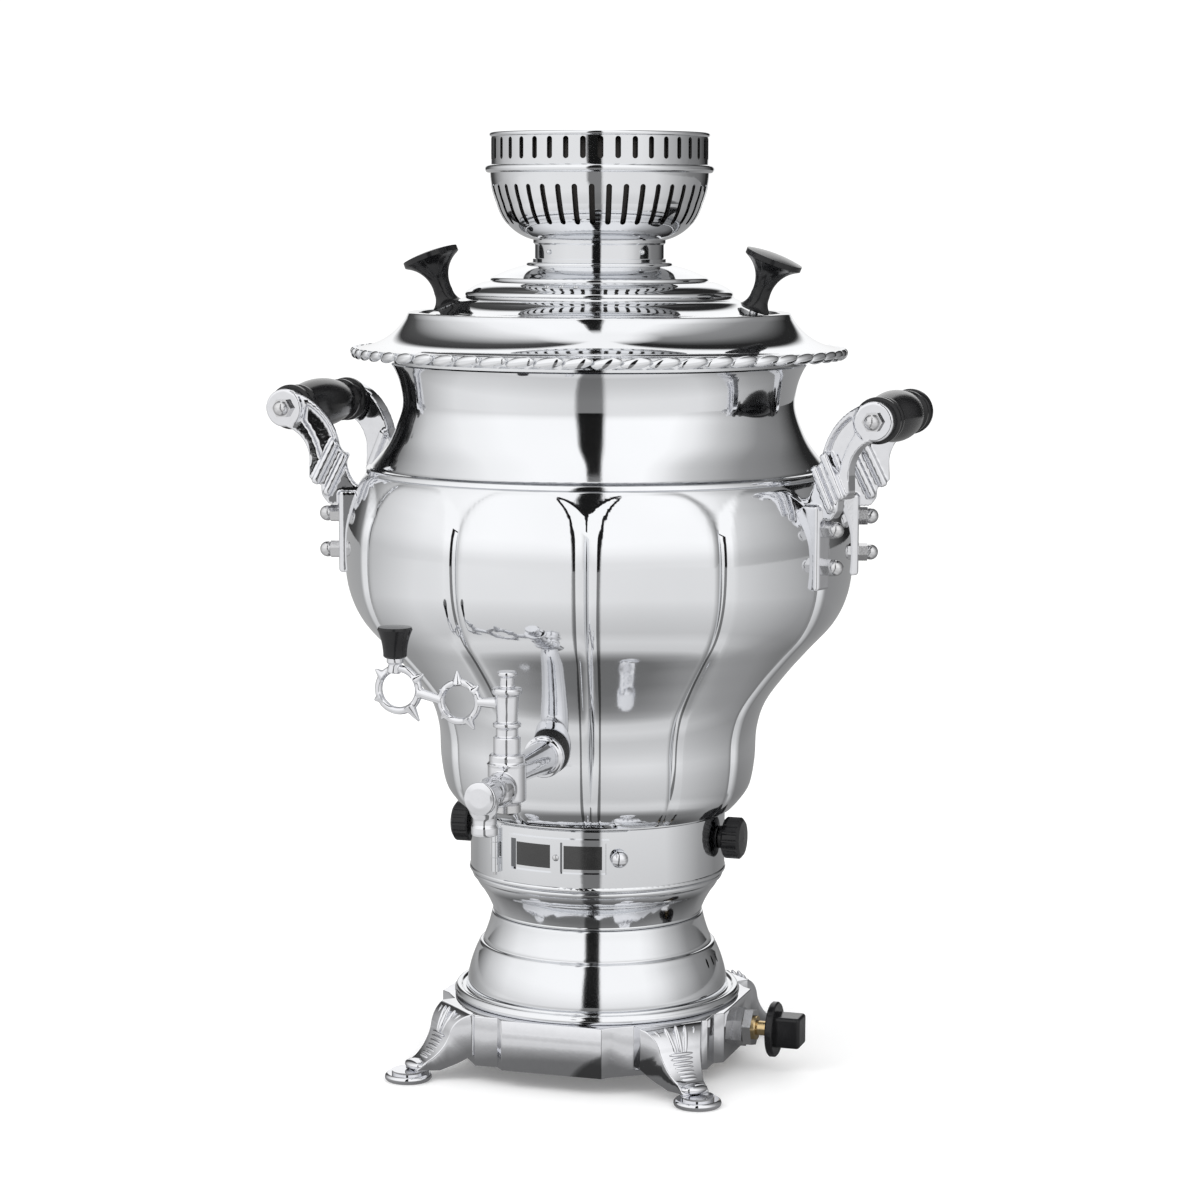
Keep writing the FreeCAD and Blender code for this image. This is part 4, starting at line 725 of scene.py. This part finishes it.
def angle_from_camera(sheet, place):
    """Angle of a direction about the upright axis, 0 to 1, with the camera's own side at 0.5."""
    turn = math.radians(CAMERA_AZIMUTH)
    ahead = sheet.node("ShaderNodeVectorMath", {"operation": "DOT_PRODUCT"},
                       {0: place, 1: (math.sin(turn), -math.cos(turn), 0)}, out=1)
    across = sheet.node("ShaderNodeVectorMath", {"operation": "DOT_PRODUCT"},
                        {0: place, 1: (math.cos(turn), math.sin(turn), 0)}, out=1)
    return across.calc("ARCTAN2", across, ahead) / (2 * math.pi) + 0.5


def around_stops(levels):
    return [((angle + 180) / 360, grey(level)) for angle, level in levels]


def studio_floor():
    """Pale floor. Mirrored in the plate it shows a painted reflection: a glow with painted shadow under the body and
    painted dark bands beside the stand and to the far side.
    """
    clear_selection()
    bpy.ops.mesh.primitive_plane_add(size=9.0, location=(0, 0, 0))
    floor = bpy.context.object
    floor.name = "studio_floor"
    material, sheet = new_material("pale floor with painted reflection")
    where = sheet.node("ShaderNodeTexCoord", out=3)
    speck = sheet.noise(where, 3.0, 2.0)
    tone = sheet.ramp(speck, [(0.3, grey(0.88)), (0.7, grey(0.90))])
    lit = sheet.node("ShaderNodeBsdfPrincipled", {}, {"Base Color": tone, "Roughness": 0.6})
    glow = sheet.node("ShaderNodeEmission", {}, {"Color": grey(1.0), "Strength": 0.16})
    seen = sheet.node("ShaderNodeAddShader", {}, {0: lit, 1: glow})
    reach = sheet.node("ShaderNodeVectorMath", {"operation": "LENGTH"}, {0: where}, out=1)
    # Painted shadow in the reflection: the glow is dark near the middle, under the body, and dips again further out
    painted_shadow_by_reach = sheet.ramp(reach, [(0.0, grey(0.16)), (0.12, grey(0.20)), (0.16, grey(0.45)), (0.20, grey(0.80)),
                              (0.27, grey(0.88)), (0.36, grey(0.75)), (0.6, grey(0.85)), (1.0, grey(1.0))])
    # Painted shade round the floor: a dark stripe toward the stand on the camera's side, and darker toward the far
    # side
    side = sheet.ramp(angle_from_camera(sheet, where), around_stops(
        ((-180, 0.35), (-135, 0.35), (-115, 0.5), (-90, 0.75), (-60, 0.8), (-14, 0.78), (-12, 0.20), (1.5, 0.20), (3.5, 0.77),
         (60, 0.74), (80, 0.55), (100, 0.36), (125, 0.24), (180, 0.3))))
    # Painted reflection: glossy rays see this glow instead of the lit floor
    painted_reflection_glow = sheet.node("ShaderNodeEmission", {}, {"Color": side, "Strength": painted_shadow_by_reach * 1.2})
    rays = sheet.node("ShaderNodeLightPath", out=0)
    glossy = Wire(sheet, rays.socket.node.outputs["Is Glossy Ray"])
    plain = sheet.node("ShaderNodeMixShader", {}, {0: rays, 1: lit, 2: seen})
    finish_material(sheet, sheet.node("ShaderNodeMixShader", {}, {0: glossy, 1: plain, 2: painted_reflection_glow}))
    dress(floor, material)


def studio_world():
    """Room seen in the plate, with a dark upright stand at the front. Other rays meet plain white."""
    world = bpy.data.worlds.new("studio")
    bpy.context.scene.world = world
    world.use_nodes = True
    sheet = Sheet(world.node_tree)
    ray = sheet.node("ShaderNodeTexCoord", out=0)
    walls = sheet.ramp(angle_from_camera(sheet, ray), around_stops(
        ((-180, 0.95), (-166, 0.95), (-161, 0.04), (-148, 0.08), (-138, 0.30), (-120, 0.62), (-90, 0.92),
         (-60, 1.0), (-14, 1.0), (-12, 0.01), (1.5, 0.01), (3.5, 1.0), (45, 1.0), (60, 0.87), (78, 0.58),
         (90, 0.45), (107, 0.26), (128, 0.20), (142, 0.08), (150, 0.02), (160, 0.02), (165, 0.95), (180, 0.95))))
    level = sheet.node("ShaderNodeSeparateXYZ", {}, {0: ray}, out=2)
    rise = sheet.ramp(level, [(0.0, grey(0.78)), (0.15, grey(0.92)), (0.3, grey(1.0))])
    room = sheet.node("ShaderNodeMix", {"data_type": "RGBA", "blend_type": "MULTIPLY"},
                      {0: 1.0, 6: walls, 7: rise}, out=2)
    overhead = sheet.ramp(level, [(0.95, grey(0.0)), (0.99, grey(1.0))])
    mixed = sheet.node("ShaderNodeMix", {"data_type": "RGBA"}, {0: overhead, 6: room, 7: grey(0.95)}, out=2)
    glossy = sheet.node("ShaderNodeLightPath", out=3)
    final = sheet.node("ShaderNodeMix", {"data_type": "RGBA"}, {0: glossy, 6: grey(0.92), 7: mixed}, out=2)
    background = sheet.node("ShaderNodeBackground", {}, {"Color": final, "Strength": 1.2})
    sheet.node("ShaderNodeOutputWorld", {}, {"Surface": background})


def studio_lamps():
    for name, place, size, power in (("key", (-1.3, -1.5, 1.9), 1.3, 16.0), ("fill", (1.7, -0.9, 1.5), 1.2, 6.0)):
        light = bpy.data.lights.new(name, "AREA")
        light.size = size
        light.energy = power
        lamp = bpy.data.objects.new(name, light)
        bpy.context.scene.collection.objects.link(lamp)
        lamp.location = place
        lamp.rotation_euler = (Vector((0, 0, 0.25)) - Vector(place)).to_track_quat("-Z", "Y").to_euler()
        lamp.visible_glossy = False


def studio_camera():
    camera = bpy.data.objects.new("camera", bpy.data.cameras.new("camera"))
    bpy.context.scene.collection.objects.link(camera)
    camera.data.sensor_width = 36.0
    camera.data.lens = 36.0 * FOCAL_PIXELS / FRAME_PIXELS
    turn = math.radians(CAMERA_AZIMUTH)
    place = Vector((math.sin(turn), -math.cos(turn), 0)) * CAMERA_DISTANCE * MM
    place.z = CAMERA_HEIGHT * MM
    facing = Euler((math.radians(90 - CAMERA_PITCH), 0, turn + math.radians(CAMERA_YAW))).to_matrix()
    roll = Matrix.Rotation(math.radians(CAMERA_ROLL), 3, "Z")
    camera.matrix_world = Matrix.Translation(place) @ (facing @ roll).to_4x4()
    bpy.context.scene.camera = camera
    bpy.context.scene.view_settings.view_transform = "Standard"


studio_floor()
studio_world()
studio_lamps()
studio_camera()
dress_frame()
tank_body()
rim()
lid_dome()
crown_painted_shade_sleeve()
pedestal()
base_and_legs()
brackets()
tap()
